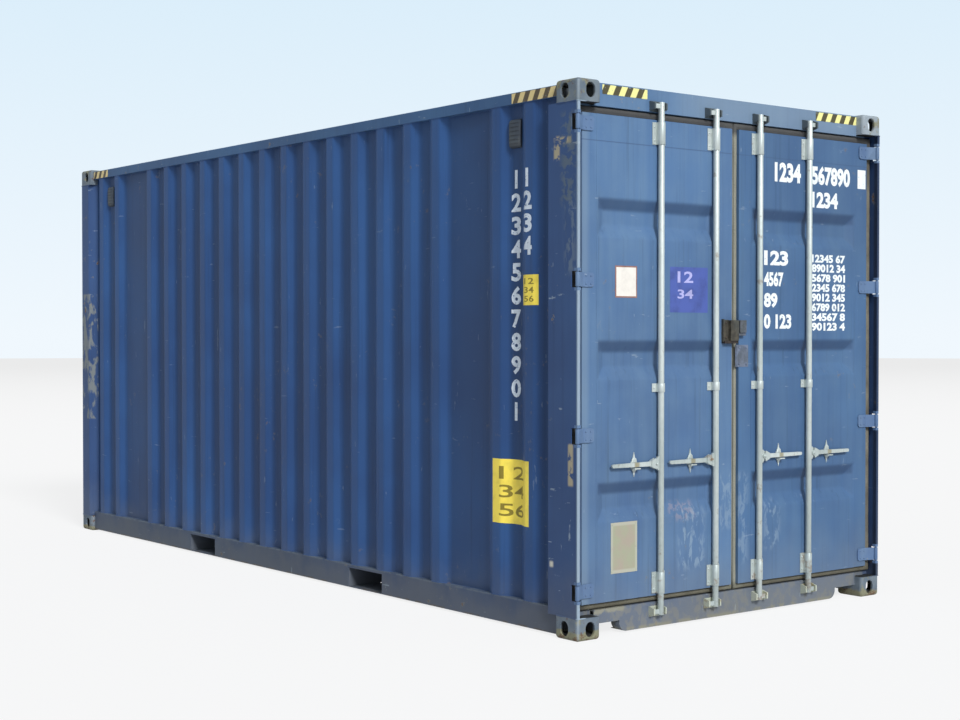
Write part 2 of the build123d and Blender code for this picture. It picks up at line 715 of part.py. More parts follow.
for name, side in sides:
    # Stiles: upright tubes at both edges of the door
    with BuildPart() as stiles:
        with BuildSketch(Plane.XY.offset(door_bottom)):
            with Locations(
                (door_face_x - door_depth / 2, side * (door_centre_edge + stile_w / 2)),
                (door_face_x - door_depth / 2, side * (door_hinge_edge - stile_w / 2)),
            ):
                Rectangle(door_depth, stile_w)
                Rectangle(door_depth - 2 * stile_wall, stile_w - 2 * stile_wall, mode=Mode.SUBTRACT)
        extrude(amount=door_top - door_bottom)
    save(stiles, f"door_{name}_stiles")

    # Rails: folded channels across the top and the bottom, open inwards
    panel_inner_y = door_centre_edge + stile_w
    panel_outer_y = door_hinge_edge - stile_w
    with BuildPart() as door_rails:
        for rail_low in (door_bottom, door_top - door_rail_h):
            rail_path = [
                (door_face_x - door_depth, rail_low),
                (door_face_x, rail_low),
                (door_face_x, rail_low + door_rail_h),
                (door_face_x - door_depth, rail_low + door_rail_h),
            ]
            start_y = side * (panel_outer_y if side > 0 else panel_inner_y)
            rail_section = outline_face(along_y(start_y), thick_path(rail_path, door_rail_wall))
            extrude(rail_section, amount=panel_outer_y - panel_inner_y)
    save(door_rails, f"door_{name}_rails")

    # Panel: sheet with pressed recesses across it
    panel_bottom = door_bottom + door_rail_h
    panel_top = door_top - door_rail_h
    panel_y = side * (panel_inner_y + panel_outer_y) / 2
    recess_w = panel_outer_y - panel_inner_y - 2 * recess_margin
    with BuildPart() as panel:
        with BuildSketch(Plane.YZ.offset(door_face_x - sheet)):
            with Locations((panel_y, (panel_bottom + panel_top) / 2)):
                Rectangle(panel_outer_y - panel_inner_y, panel_top - panel_bottom)
        extrude(amount=sheet)
        for mode, back in ((Mode.ADD, sheet), (Mode.SUBTRACT, 0.0)):
            for k in range(recess_count):
                recess_z = recess_top - recess_h / 2 - recess_pitch * k
                with BuildSketch(Plane.YZ.offset(door_face_x - back)):
                    with Locations((panel_y, recess_z)):
                        Rectangle(recess_w, recess_h)
                with BuildSketch(Plane.YZ.offset(door_face_x - back - recess_depth)):
                    with Locations((panel_y, recess_z)):
                        Rectangle(recess_w - 2 * recess_slope, recess_flat)
                loft(mode=mode)
    save(panel, f"door_{name}_panel")

    # Gasket: a rubber frame round the door
    with BuildPart() as gasket:
        with BuildSketch(Plane.YZ.offset(gasket_x)):
            gasket_y = side * (gasket_centre_gap + gasket_hinge_edge) / 2
            with Locations((gasket_y, (gasket_bottom + gasket_top) / 2)):
                Rectangle(gasket_hinge_edge - gasket_centre_gap, gasket_top - gasket_bottom)
            leaf_y = side * (door_centre_edge + door_hinge_edge) / 2
            with Locations((leaf_y, (door_bottom + door_top) / 2)):
                Rectangle(door_hinge_edge - door_centre_edge, door_top - door_bottom, mode=Mode.SUBTRACT)
        extrude(amount=gasket_t)
    save(gasket, f"door_{name}_gasket")

    # Hinge blades: a strap on the door that turns out to a barrel round the pin
    with BuildPart() as hinges:
        blade_path = [
            (door_face_x, side * blade_inner_y),
            (door_face_x, side * door_hinge_edge),
            (pin_x - barrel_r / 2, side * (pin_y + blade_t / 2)),
        ]
        blade_outline = thick_path(blade_path, -side * blade_t)
        for z in hinge_zs:
            extrude(outline_face(Plane.XY.offset(z - blade_h / 2), blade_outline), amount=blade_h)
        blade_ends = hinges.edges().filter_by(Axis.X)
        fillet(blade_ends.filter_by(lambda e: abs(abs(e.center().Y) - blade_inner_y) < 1), blade_round)
        with Locations(*[(pin_x, side * pin_y, z) for z in hinge_zs]):
            Cylinder(barrel_r, blade_h)
            Cylinder(pin_r + pin_clearance, blade_h, mode=Mode.SUBTRACT)
    save(hinges, f"door_{name}_hinges")

    # Bar guides: a hat-shaped strap over each lock bar, on a plate at each side
    with BuildPart() as guides:
        bore_r = bar_r + guide_clearance
        strap_r = bore_r + guide_strap
        for bar_y in (side * inner_bar_y, side * outer_bar_y):
            for low_z, guide_h in guide_spans:
                with BuildSketch(Plane.XY.offset(low_z)):
                    with Locations((door_face_x + guide_plate / 2, bar_y)):
                        Rectangle(guide_plate, guide_w)
                    with Locations(((door_face_x + bar_x) / 2, bar_y)):
                        Rectangle(bar_x - door_face_x, 2 * strap_r)
                    with Locations((bar_x, bar_y)):
                        Circle(strap_r)
                        Circle(bore_r, mode=Mode.SUBTRACT)
                    with Locations(((door_face_x + bar_x) / 2, bar_y)):
                        Rectangle(bar_x - door_face_x, 2 * bore_r, mode=Mode.SUBTRACT)
                extrude(amount=guide_h)
    save(guides, f"door_{name}_bar_guides")

    # Handle catches: a four-pointed plate behind each handle and a shelf below it
    with BuildPart() as catches:
        for bar_y in (inner_bar_y, outer_bar_y):
            catch_y = side * (bar_y + catch_at)
            with BuildSketch(Plane.YZ.offset(door_face_x)):
                with Locations((catch_y, handle_z)):
                    Circle(catch_disc_r)
                for across, up in ((catch_point_w, catch_h), (catch_w, catch_point_h)):
                    with BuildLine():
                        Polyline(
                            (catch_y - across / 2, handle_z),
                            (catch_y, handle_z - up / 2),
                            (catch_y + across / 2, handle_z),
                            (catch_y, handle_z + up / 2),
                            close=True,
                        )
                    make_face()
            extrude(amount=catch_plate)
            shelf_top = handle_z - handle_h / 2 - catch_gap
            with Locations((door_face_x + catch_shelf_reach / 2, catch_y, shelf_top - catch_shelf_t / 2)):
                Box(catch_shelf_reach, catch_shelf_w, catch_shelf_t)
    save(catches, f"door_{name}_catches")

    # Half of the lock box at the meeting edge
    with BuildPart() as lock_box:
        box_y = side * (lock_box_gap / 2 + lock_box_w[side] / 2)
        box_z = lock_box_z + lock_box_h[-1] - lock_box_h[side] / 2
        with Locations((door_face_x + lock_box_x / 2, box_y, box_z)):
            Box(lock_box_x, lock_box_w[side], lock_box_h[side])
    save(lock_box, f"door_{name}_lock_box")

for number, side, bar_y in bars:
    y = side * bar_y
    # Lock bar: a tube with a tapered cam prong at both ends and a broad ear for its handle
    with BuildPart() as lock_bar:
        with Locations((bar_x, y, (bar_bottom + bar_top) / 2)):
            Cylinder(bar_r, bar_top - bar_bottom)
        cam_outline = [
            (bar_x - cam_root_t / 2, y),
            (bar_x + cam_root_t / 2, y),
            (bar_x + cam_tip_t / 2, y + side * cam_reach),
            (bar_x - cam_tip_t / 2, y + side * cam_reach),
        ]
        for z in (top_cam_z, bottom_cam_z):
            extrude(outline_face(Plane.XY.offset(z - cam_h / 2), cam_outline), amount=cam_h)
        ear_outline = [
            (y, handle_z - ear_root_h / 2),
            (y + side * ear_shoulder_at, handle_z - ear_shoulder_h / 2),
            (y + side * handle_pin_at, handle_z - ear_r),
            (y + side * handle_pin_at, handle_z + ear_r),
            (y + side * ear_shoulder_at, handle_z + ear_shoulder_h / 2),
            (y, handle_z + ear_root_h / 2),
        ]
        extrude(outline_face(Plane.YZ.offset(bar_x - ear_t / 2), ear_outline), amount=ear_t)
        with BuildSketch(Plane.YZ.offset(bar_x - ear_t / 2)):
            with Locations((y + side * handle_pin_at, handle_z)):
                Circle(ear_r)
        extrude(amount=ear_t)
        pin_half = ear_t / 2 + cheek_gap + cheek_t
        with BuildSketch(Plane.YZ.offset(bar_x - pin_half)):
            with Locations((y + side * handle_pin_at, handle_z)):
                Circle(handle_pin_r)
        extrude(amount=2 * pin_half)
    save(lock_bar, f"lock_bar_{number}")

    # Handle: two flared cheeks on the bar's ear that run into one tapered grip
    flare_fall = (flare_h - handle_h) / 2 / (flare_end_at - flare_at)
    fork_root_end = fork_root_at + fork_root_l
    root_h = flare_h - 2 * flare_fall * (fork_root_at - flare_at)
    root_end_h = flare_h - 2 * flare_fall * (fork_root_end - flare_at)
    cheek_inner = ear_t / 2 + cheek_gap
    with BuildPart() as handle:
        for back in (-1, 1):
            with BuildSketch(Plane.YZ.offset(bar_x + back * cheek_inner)):
                with Locations((y + side * handle_pin_at, handle_z)):
                    Circle(handle_eye_r)
                with BuildLine():
                    Polyline(
                        (y + side * handle_pin_at, handle_z - handle_eye_r),
                        (y + side * flare_at, handle_z - flare_h / 2),
                        (y + side * fork_root_at, handle_z - root_h / 2),
                        (y + side * fork_root_at, handle_z + root_h / 2),
                        (y + side * flare_at, handle_z + flare_h / 2),
                        (y + side * handle_pin_at, handle_z + handle_eye_r),
                        close=True,
                    )
                make_face()
                with Locations((y + side * handle_pin_at, handle_z)):
                    Circle(handle_pin_r + cheek_gap, mode=Mode.SUBTRACT)
            extrude(amount=back * cheek_t)
        root_outline = [
            (y + side * fork_root_at, handle_z - root_h / 2),
            (y + side * fork_root_end, handle_z - root_end_h / 2),
            (y + side * fork_root_end, handle_z + root_end_h / 2),
            (y + side * fork_root_at, handle_z + root_h / 2),
        ]
        pin_half = cheek_inner + cheek_t
        extrude(outline_face(Plane.YZ.offset(bar_x - pin_half), root_outline), amount=2 * pin_half)
        with BuildSketch(Plane.YZ.offset(bar_x - handle_t / 2)):
            with BuildLine():
                grip_end = handle_l - handle_tip_h / 2
                Polyline(
                    (y + side * fork_root_at, handle_z - root_h / 2),
                    (y + side * flare_end_at, handle_z - handle_h / 2),
                    (y + side * grip_end, handle_z - handle_tip_h / 2),
                    (y + side * grip_end, handle_z + handle_tip_h / 2),
                    (y + side * flare_end_at, handle_z + handle_h / 2),
                    (y + side * fork_root_at, handle_z + root_h / 2),
                    close=True,
                )
            make_face()
            with Locations((y + side * grip_end, handle_z)):
                Circle(handle_tip_h / 2)
        extrude(amount=handle_t)
    save(handle, f"handle_{number}")
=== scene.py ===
# Shipping container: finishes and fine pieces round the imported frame
import math

import bmesh
import bpy
import numpy as np
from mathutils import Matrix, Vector


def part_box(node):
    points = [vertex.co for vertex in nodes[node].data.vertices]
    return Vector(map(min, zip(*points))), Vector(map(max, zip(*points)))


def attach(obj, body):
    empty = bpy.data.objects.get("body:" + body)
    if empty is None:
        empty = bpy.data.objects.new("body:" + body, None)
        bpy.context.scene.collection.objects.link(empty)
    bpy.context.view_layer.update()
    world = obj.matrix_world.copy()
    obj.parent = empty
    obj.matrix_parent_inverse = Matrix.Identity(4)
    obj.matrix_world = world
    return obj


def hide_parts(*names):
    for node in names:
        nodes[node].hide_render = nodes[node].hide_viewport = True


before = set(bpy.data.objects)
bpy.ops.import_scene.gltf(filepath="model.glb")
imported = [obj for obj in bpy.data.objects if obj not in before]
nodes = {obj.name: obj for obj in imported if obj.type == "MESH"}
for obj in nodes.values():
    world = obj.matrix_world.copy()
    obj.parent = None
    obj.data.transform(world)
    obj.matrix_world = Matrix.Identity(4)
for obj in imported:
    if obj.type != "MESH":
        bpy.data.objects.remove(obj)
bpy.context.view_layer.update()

scene = bpy.context.scene
sideOf = {"left": -1, "right": 1}


# Camera at the photograph's place, floor, backdrop and lamps
view = {
    "place": (9.125, -6.612, 1.588),
    "tilt": 89.03,
    "turn": 52.01,
    "lens": 59.61,
    "film": 36.0,
    "farClip": 500.0,
}
studio = {
    "floorRadius": 93.0,
    "floorSides": 96,
    "floorFades": (10.0, 74.0),
    "floorNear": (0.82, 0.822, 0.825),
    "floorFar": (0.72, 0.72, 0.72),
    "floorBase": (0.8, 0.805, 0.81),
    "floorShows": 0.16,
    "skyLow": (0.87, 0.935, 0.99),
    "skyHigh": (0.7, 0.85, 0.96),
    "skyTop": 0.22,
    "fillColour": (0.93, 0.97, 1.0, 1.0),
    "fillEven": 0.34,
    "fillAhead": 0.2,
    "fillBeside": -0.08,
    "sunStrength": 2.9,
    "sunSpread": 14,
    "sunTowards": (-0.81, 0.2, -0.55),
}


class Wire:
    # A socket that can be used in sums: each operator adds one Math node
    def __init__(self, tree, socket):
        self.tree = tree
        self.socket = socket

    def maths(self, operation, *values):
        return self.tree.node("Math", {"operation": operation}, dict(enumerate(values)))

    def __add__(self, other):
        return self.maths("ADD", self, other)

    def __sub__(self, other):
        return self.maths("SUBTRACT", self, other)

    def __rsub__(self, other):
        return self.maths("SUBTRACT", other, self)

    def __mul__(self, other):
        return self.maths("MULTIPLY", self, other)

    def __truediv__(self, other):
        return self.maths("DIVIDE", self, other)

    __radd__ = __add__
    __rmul__ = __mul__

    def least(self, other):
        return self.maths("MINIMUM", self, other)

    def most(self, other):
        return self.maths("MAXIMUM", self, other)

    def size(self):
        return self.maths("ABSOLUTE", self)

    def rest(self):
        return self.maths("FRACT", self)

    def rise(self, low, high):
        # 0 below low, 1 above high, smooth between; falls where low is the larger
        falls = low >= high
        ends = {0: self, 1: min(low, high), 2: max(low, high), 3: float(falls), 4: float(not falls)}
        return self.tree.node("MapRange", {"interpolation_type": "SMOOTHSTEP"}, ends)


class Tree:
    # A shader node tree that is built from nothing
    def __init__(self, owner):
        owner.use_nodes = True
        self.nodes, self.links = owner.node_tree.nodes, owner.node_tree.links
        self.nodes.clear()

    def node(self, kind, settings=None, ins=None, out=0):
        made = self.nodes.new("ShaderNode" + kind)
        for name, value in (settings or {}).items():
            setattr(made, name, value)
        for key, value in (ins or {}).items():
            if isinstance(value, Wire):
                self.links.new(value.socket, made.inputs[key])
            else:
                made.inputs[key].default_value = value
        return Wire(self, made.outputs[out] if len(made.outputs) else None)

    def parts(self, direction):
        return [self.node("SeparateXYZ", ins={0: direction}, out=k) for k in range(3)]

    def mix(self, mask, first, second, blend="MIX"):
        ins = {0: mask}
        for key, colour in ((6, first), (7, second)):
            ins[key] = colour if isinstance(colour, Wire) else (*colour, 1.0)
        return self.node("Mix", {"data_type": "RGBA", "blend_type": blend}, ins, 2)

    def shade(self, colour, amount):
        # The colour times a grey value
        grey = self.node("CombineXYZ", ins={0: amount, 1: amount, 2: amount})
        return self.mix(1.0, colour, grey, "MULTIPLY")


class Finish(Tree):
    # One material, with the few patterns that the finishes use
    def __init__(self, name):
        self.material = bpy.data.materials.new(name)
        super().__init__(self.material)
        self.place = self.node("TexCoord", out="Object")
        self.x, self.y, self.z = self.parts(self.place)
        self.colour = self.normal = None

    def point(self, stretch=(1.0, 1.0, 1.0), shift=(0.0, 0.0, 0.0)):
        return self.node("Mapping", ins={"Vector": self.place, "Location": shift, "Scale": stretch})

    def noise(self, scale, detail=3.0, rough=0.5, stretch=(1.0, 1.0, 1.0), shift=(0.0, 0.0, 0.0), warp=0.0):
        ins = {"Vector": self.point(stretch, shift), "Scale": scale, "Detail": detail, "Roughness": rough}
        ins["Distortion"] = warp
        return self.node("TexNoise", {"noise_dimensions": "3D"}, ins)

    def cells(self, scale, stretch=(1.0, 1.0, 1.0), feature="F1"):
        ins = {"Vector": self.point(stretch), "Scale": scale}
        return self.node("TexVoronoi", {"feature": feature}, ins, "Distance")

    def over(self, mask, colour):
        # Lays a colour over what is there
        self.colour = self.mix(mask, self.colour, colour)

    def dim(self, amount):
        self.colour = self.shade(self.colour, amount)

    def bump(self, height, distance, strength):
        # Each bump lies on those before it
        ins = {"Height": height, "Distance": distance, "Strength": strength}
        self.normal = self.node("Bump", ins={**ins, "Normal": self.normal} if self.normal else ins)

    def close(self, roughness, metallic=0.0, fixed=None):
        ins = {"Base Color": self.colour, "Roughness": roughness, "Metallic": metallic, **(fixed or {})}
        if self.normal:
            ins["Normal"] = self.normal
        shader = self.node("BsdfPrincipled", ins=ins)
        self.node("OutputMaterial", ins={"Surface": shader})
        return self.material


def setCamera():
    camera = bpy.data.objects.new("camera", bpy.data.cameras.new("camera"))
    camera.location = view["place"]
    camera.rotation_euler = (math.radians(view["tilt"]), 0.0, math.radians(view["turn"]))
    camera.data.lens = view["lens"]
    camera.data.sensor_width = view["film"]
    camera.data.clip_end = view["farClip"]
    scene.collection.objects.link(camera)
    scene.camera = camera


def setFloor():
    # A flat disc that darkens away from the container; its rim is the horizon
    angles = np.arange(studio["floorSides"]) * 2 * np.pi / studio["floorSides"]
    ring = np.stack([np.cos(angles), np.sin(angles), np.zeros_like(angles)], 1) * studio["floorRadius"]
    mesh = bpy.data.meshes.new("floor")
    mesh.from_pydata(ring.tolist(), [], [list(range(len(ring)))])
    floor = bpy.data.objects.new("floor", mesh)
    scene.collection.objects.link(floor)
    paint = Finish("paleFloor")
    away = paint.x.maths("SQRT", paint.x * paint.x + paint.y * paint.y)
    # The camera sees it almost evenly bright; all other rays meet a pale matt surface
    seen = paint.node("LightPath", out="Is Camera Ray")
    glow = paint.mix(away.rise(*studio["floorFades"]), studio["floorNear"], studio["floorFar"])
    glow = paint.shade(glow, seen)
    paint.colour = paint.shade(studio["floorBase"], 1.0 - seen * (1.0 - studio["floorShows"]))
    fixed = {"Specular IOR Level": 0.0, "Emission Color": glow, "Emission Strength": 1.0}
    floor.data.materials.append(paint.close(0.9, fixed=fixed))


def setSky():
    # It is seen by the camera and in reflections; the surfaces are lit by a grey that is
    # brighter before the doors and beside the long side that is seen
    scene.world = bpy.data.worlds.new("studio")
    sky = Tree(scene.world)
    ahead, beside, up = sky.parts(sky.node("TexCoord", out="Generated"))
    height = sky.node("MapRange", ins={0: up, 2: studio["skyTop"]})
    seen = sky.node("Background", ins={0: sky.mix(height, studio["skyLow"], studio["skyHigh"])})
    light = ahead * studio["fillAhead"] + beside * studio["fillBeside"] + studio["fillEven"]
    fill = sky.node("Background", ins={0: studio["fillColour"], 1: light})
    rays = [sky.node("LightPath", out=f"Is {kind} Ray") for kind in ("Camera", "Glossy", "Transmission")]
    shown = sky.node("MixShader", ins={0: rays[0].most(rays[1].most(rays[2])), 1: fill, 2: seen})
    sky.node("OutputWorld", ins={0: shown})


def setSun():
    sun = bpy.data.objects.new("sun", bpy.data.lights.new("sun", "SUN"))
    sun.data.energy = studio["sunStrength"]
    sun.data.angle = math.radians(studio["sunSpread"])
    sun.rotation_euler = Vector(studio["sunTowards"]).to_track_quat("-Z", "Y").to_euler()
    scene.collection.objects.link(sun)


setCamera()
setFloor()
setSky()
setSun()
scene.view_settings.view_transform = "Standard"
print("camera and studio ready")


# Painted steel. A coat fades and chalks in large patches, streaks run down it, and it is
# scuffed and rusty in places; each surface has its own amounts
paintLook = {
    "deep": (0.05, 0.105, 0.262),
    "bright": (0.078, 0.165, 0.375),
    "chalk": (0.215, 0.315, 0.45),
    "scuff": (0.36, 0.43, 0.49),
    "rust": (0.13, 0.055, 0.025),
    "primer": (0.3, 0.28, 0.2),
    "dust": (0.19, 0.19, 0.165),
}


def boxMask(paint, mark):
    # 1 inside a box of object coordinates, broken up by noise; soft at the rim
    soft = mark.get("soft", 0.008)
    mask = mark.get("amount", 1.0)
    for axis in "xyz":
        if axis in mark:
            coordinate, (low, high) = getattr(paint, axis), mark[axis]
            mask = coordinate.rise(low - soft, low + soft) * coordinate.rise(high + soft, high - soft) * mask
    if "broken" in mark:
        stretch = mark.get("stretch", (1.0, 1.0, 1.0))
        pattern = paint.noise(mark.get("grain", 30.0), 5.0, 0.6, stretch, warp=0.4)
        edge = 0.72 - 0.34 * mark["broken"]
        mask = mask * pattern.rise(edge - 0.05, edge + 0.05)
    return mask


def bluePaint(name, chalk, scuffs, rust, streaks, dust, dustTop=0.35, troughShade=0.0, tint=(1, 1, 1), marks=()):
    paint = Finish(name)
    patches = paint.noise(0.9, 4.0, 0.55, shift=(3.1, 0.4, 1.7))
    tinted = lambda key: tuple(c * t for c, t in zip(paintLook[key], tint))
    paint.colour = paint.mix(patches.rise(0.3, 0.72), tinted("deep"), tinted("bright"))

    # Chalking: pale, uneven, more of it where rain has run
    runs = paint.noise(1.0, 5.0, 0.6, stretch=(11.0, 11.0, 0.55))
    cloudy = paint.noise(2.6, 5.0, 0.6, shift=(7.0, 2.0, 5.0))
    chalked = (cloudy * 0.6 + runs * 0.6).rise(0.42, 0.86) * chalk + chalk * 0.55
    paint.over(chalked, tinted("chalk"))

    # Streaks: narrow dark runs
    fine = paint.noise(1.0, 4.0, 0.65, stretch=(38.0, 38.0, 0.9), shift=(1.0, 2.0, 3.0))
    paint.dim(1.0 - fine.rise(0.52, 0.78) * 0.28 * streaks)

    # Painted shade in the troughs of a side wall, where the sheet lies deepest
    if troughShade:
        paint.dim(1.0 - troughShade * paint.y.size().rise(1.17, 1.156))

    # Dust settles low and creeps up unevenly
    creep = paint.noise(5.0, 4.0, 0.6, shift=(0.0, 9.0, 2.0))
    low = (paint.z + (creep - 0.5) * 0.35).rise(dustTop, 0.02)
    paint.over(low * dust * 0.55, paintLook["dust"])

    # Scuffs: short pale scratches in two directions
    along = paint.noise(6.0, 6.0, 0.62, stretch=(1.0, 1.0, 5.5), shift=(4.0, 4.0, 4.0))
    across = paint.noise(7.0, 6.0, 0.62, stretch=(4.5, 4.5, 1.0), shift=(8.0, 1.0, 6.0))
    worn = along.rise(0.665, 0.7).most(across.rise(0.68, 0.71))
    paint.over(worn * scuffs * 0.55, paintLook["scuff"])

    # Rust: small blisters with a stained ring
    spots = paint.noise(17.0, 7.0, 0.7, shift=(2.0, 6.0, 1.0))
    where = paint.noise(1.7, 3.0, 0.5, shift=(5.0, 5.0, 0.0)).rise(0.42, 0.62)
    thick = spots * (0.72 + 0.28 * where)
    ring, core = thick.rise(0.6, 0.655), thick.rise(0.64, 0.68)
    paint.over(ring * rust * 0.5, paintLook["primer"])
    paint.over(core * rust, paintLook["rust"])

    # Marks at set places, as the photograph shows them
    for mark in marks:
        paint.over(boxMask(paint, mark), mark["colour"])

    peel = paint.noise(260.0, 2.0, 0.5)
    waves = paint.noise(3.0, 2.0, 0.5, shift=(1.0, 1.0, 8.0))
    paint.bump(peel, 0.0004, 0.35)
    paint.bump(waves, 0.01, 0.25)
    paint.bump(core, 0.0006, 0.6 * rust)
    roughness = 0.42 + 0.18 * patches + 0.12 * chalk + core * rust * 0.3
    return paint.close(roughness, fixed={"Specular IOR Level": 0.3})


def castingPaint(name):
    # Cast corners: thin grey-blue paint, worn through to olive primer and rust, worst at the ground
    paint = Finish(name)
    patches = paint.noise(5.0, 5.0, 0.6)
    paint.colour = paint.mix(patches.rise(0.35, 0.7), (0.08, 0.112, 0.155), (0.165, 0.2, 0.23))
    # The far top corner is cleaner and paler
    clean = paint.y.rise(0.6, 0.9) * paint.z.rise(2.7, 2.8)
    paint.over(clean * 0.75, (0.33, 0.38, 0.42))
    worn = paint.noise(9.0, 7.0, 0.65, shift=(3.0, 1.0, 2.0))
    foot = paint.z.rise(0.06, 0.015)
    crown = paint.z.rise(2.8, 2.89) * (1.0 - clean)
    bare = (worn + foot * 0.3 + crown * 0.13).rise(0.56, 0.66)
    paint.over(bare * 0.85, (0.215, 0.205, 0.115))
    rusty = paint.noise(23.0, 7.0, 0.7, shift=(1.0, 8.0, 3.0))
    rust = (rusty + foot * 0.1 + crown * 0.03).rise(0.58, 0.67)
    paint.over(rust * 0.8, (0.115, 0.052, 0.026))
    edge = paint.x.size().rise(3.018, 3.024) * paint.y.size().rise(1.2, 1.21)
    paint.over(edge * 0.5, (0.28, 0.34, 0.39))
    # Painted shade: the inside of each casting is painted near black
    deep = paint.x.size().rise(3.02, 3.012) * paint.y.size().rise(1.212, 1.203)
    deep = deep * paint.z.rise(0.01, 0.018) * paint.z.rise(2.888, 2.88)
    shell = paint.x.size().rise(2.855, 2.865).least(paint.y.size().rise(1.062, 1.07))
    paint.over(deep * shell, (0.02, 0.019, 0.018))
    grain = paint.noise(120.0, 4.0, 0.6)
    pits = paint.noise(30.0, 4.0, 0.6)
    paint.bump(grain, 0.0008, 0.6)
    paint.bump(pits, 0.0025, 0.6)
    return paint.close(0.58 + 0.25 * rust)


def zinc(name, stain=0.5, painted=0.0, rubbed=()):
    # Dull zinc: soft grey-green spangle, a white bloom, brown stains low down
    metal = Finish(name)
    spangle = metal.cells(70.0, (1.0, 1.0, 0.5))
    bloom = metal.noise(4.0, 5.0, 0.6, stretch=(1.0, 1.0, 0.35))
    metal.colour = metal.mix(bloom.rise(0.35, 0.7), (0.43, 0.485, 0.47), (0.59, 0.635, 0.615))
    metal.dim(0.93 + 0.12 * spangle)
    streak = metal.noise(1.0, 5.0, 0.6, stretch=(60.0, 60.0, 1.3), shift=(2.0, 2.0, 0.0))
    metal.over(streak.rise(0.55, 0.75) * 0.35, (0.3, 0.31, 0.27))
    rusty = metal.noise(14.0, 6.0, 0.65, shift=(6.0, 3.0, 1.0))
    low = metal.z.rise(0.75, 0.05)
    spots = (rusty + low * 0.1).rise(0.6, 0.7)
    metal.over(spots * stain, (0.22, 0.125, 0.06))
    if painted:
        metal.over(metal.z.rise(0.5, 0.1) * painted * 0.5, (0.62, 0.62, 0.42))
        metal.over(metal.z.rise(2.3, 2.7) * painted, (0.06, 0.08, 0.095))
    for place in rubbed:
        near = metal.y.rise(place - 0.024, place - 0.01) * metal.y.rise(place + 0.024, place + 0.01)
        metal.over(near * (0.45 + 0.45 * rusty), (0.27, 0.215, 0.085))
    metal.bump(metal.noise(140.0, 3.0, 0.5), 0.0005, 0.5)
    return metal.close(0.42 + 0.25 * spots + 0.12 * bloom, 0.35)


def rubber(name):
    # Weathered rubber: grey-brown, cracked, dusty
    mass = Finish(name)
    dusty = mass.noise(6.0, 5.0, 0.6)
    mass.colour = mass.mix(dusty.rise(0.35, 0.7), (0.105, 0.098, 0.078), (0.215, 0.2, 0.155))
    # Palest along the middle; painted shade under the header and behind the left hinges
    mass.over(mass.y.size().rise(0.1, 0.06) * 0.7, (0.31, 0.315, 0.26))
    mass.over(mass.z.rise(2.68, 2.72) * 0.9, (0.052, 0.052, 0.055))
    mass.over(mass.z.rise(0.2, 0.17) * 0.6, (0.08, 0.073, 0.045))
    mass.over(mass.y.rise(-1.1, -1.16) * 0.9, (0.018, 0.018, 0.02))
    cracks = mass.cells(90.0, feature="DISTANCE_TO_EDGE")
    mass.dim(0.75 + 0.25 * cracks.rise(0.0, 0.08))
    mass.bump(cracks.rise(0.0, 0.1), 0.0005, 0.5)
    return mass.close(0.8)


def rustySteel(name, dark=(0.028, 0.022, 0.02), light=(0.125, 0.075, 0.048)):
    steel = Finish(name)
    crust = steel.noise(30.0, 6.0, 0.65)
    steel.colour = steel.mix(crust.rise(0.35, 0.65), dark, light)
    oily = steel.noise(8.0, 3.0, 0.5).rise(0.45, 0.6)
    steel.over(oily * 0.5, (0.06, 0.065, 0.06))
    steel.bump(crust, 0.0012, 0.7)
    return steel.close(0.65 - 0.15 * oily, 0.2)


def ventPlastic(name):
    plastic = Finish(name)
    faded = plastic.noise(9.0, 4.0, 0.55)
    plastic.colour = plastic.mix(faded.rise(0.3, 0.7), (0.022, 0.03, 0.045), (0.05, 0.06, 0.07))
    streak = plastic.noise(1.0, 4.0, 0.6, stretch=(50.0, 50.0, 3.0))
    plastic.over(streak.rise(0.55, 0.7) * 0.4, (0.1, 0.1, 0.085))
    plastic.bump(plastic.noise(200.0), 0.0003, 0.5)
    return plastic.close(0.6)


def floorWood(name):
    # Plywood boards: long grain and dirt
    wood = Finish(name)
    grain = wood.noise(1.0, 6.0, 0.6, stretch=(1.6, 60.0, 8.0), warp=0.6)
    wood.colour = wood.mix(grain.rise(0.3, 0.72), (0.115, 0.062, 0.032), (0.265, 0.165, 0.095))
    dirt = wood.noise(2.4, 5.0, 0.6).rise(0.42, 0.7)
    wood.over(dirt * 0.5, (0.07, 0.06, 0.05))
    wood.bump(grain, 0.0012, 0.5)
    return wood.close(0.62 + 0.2 * dirt)


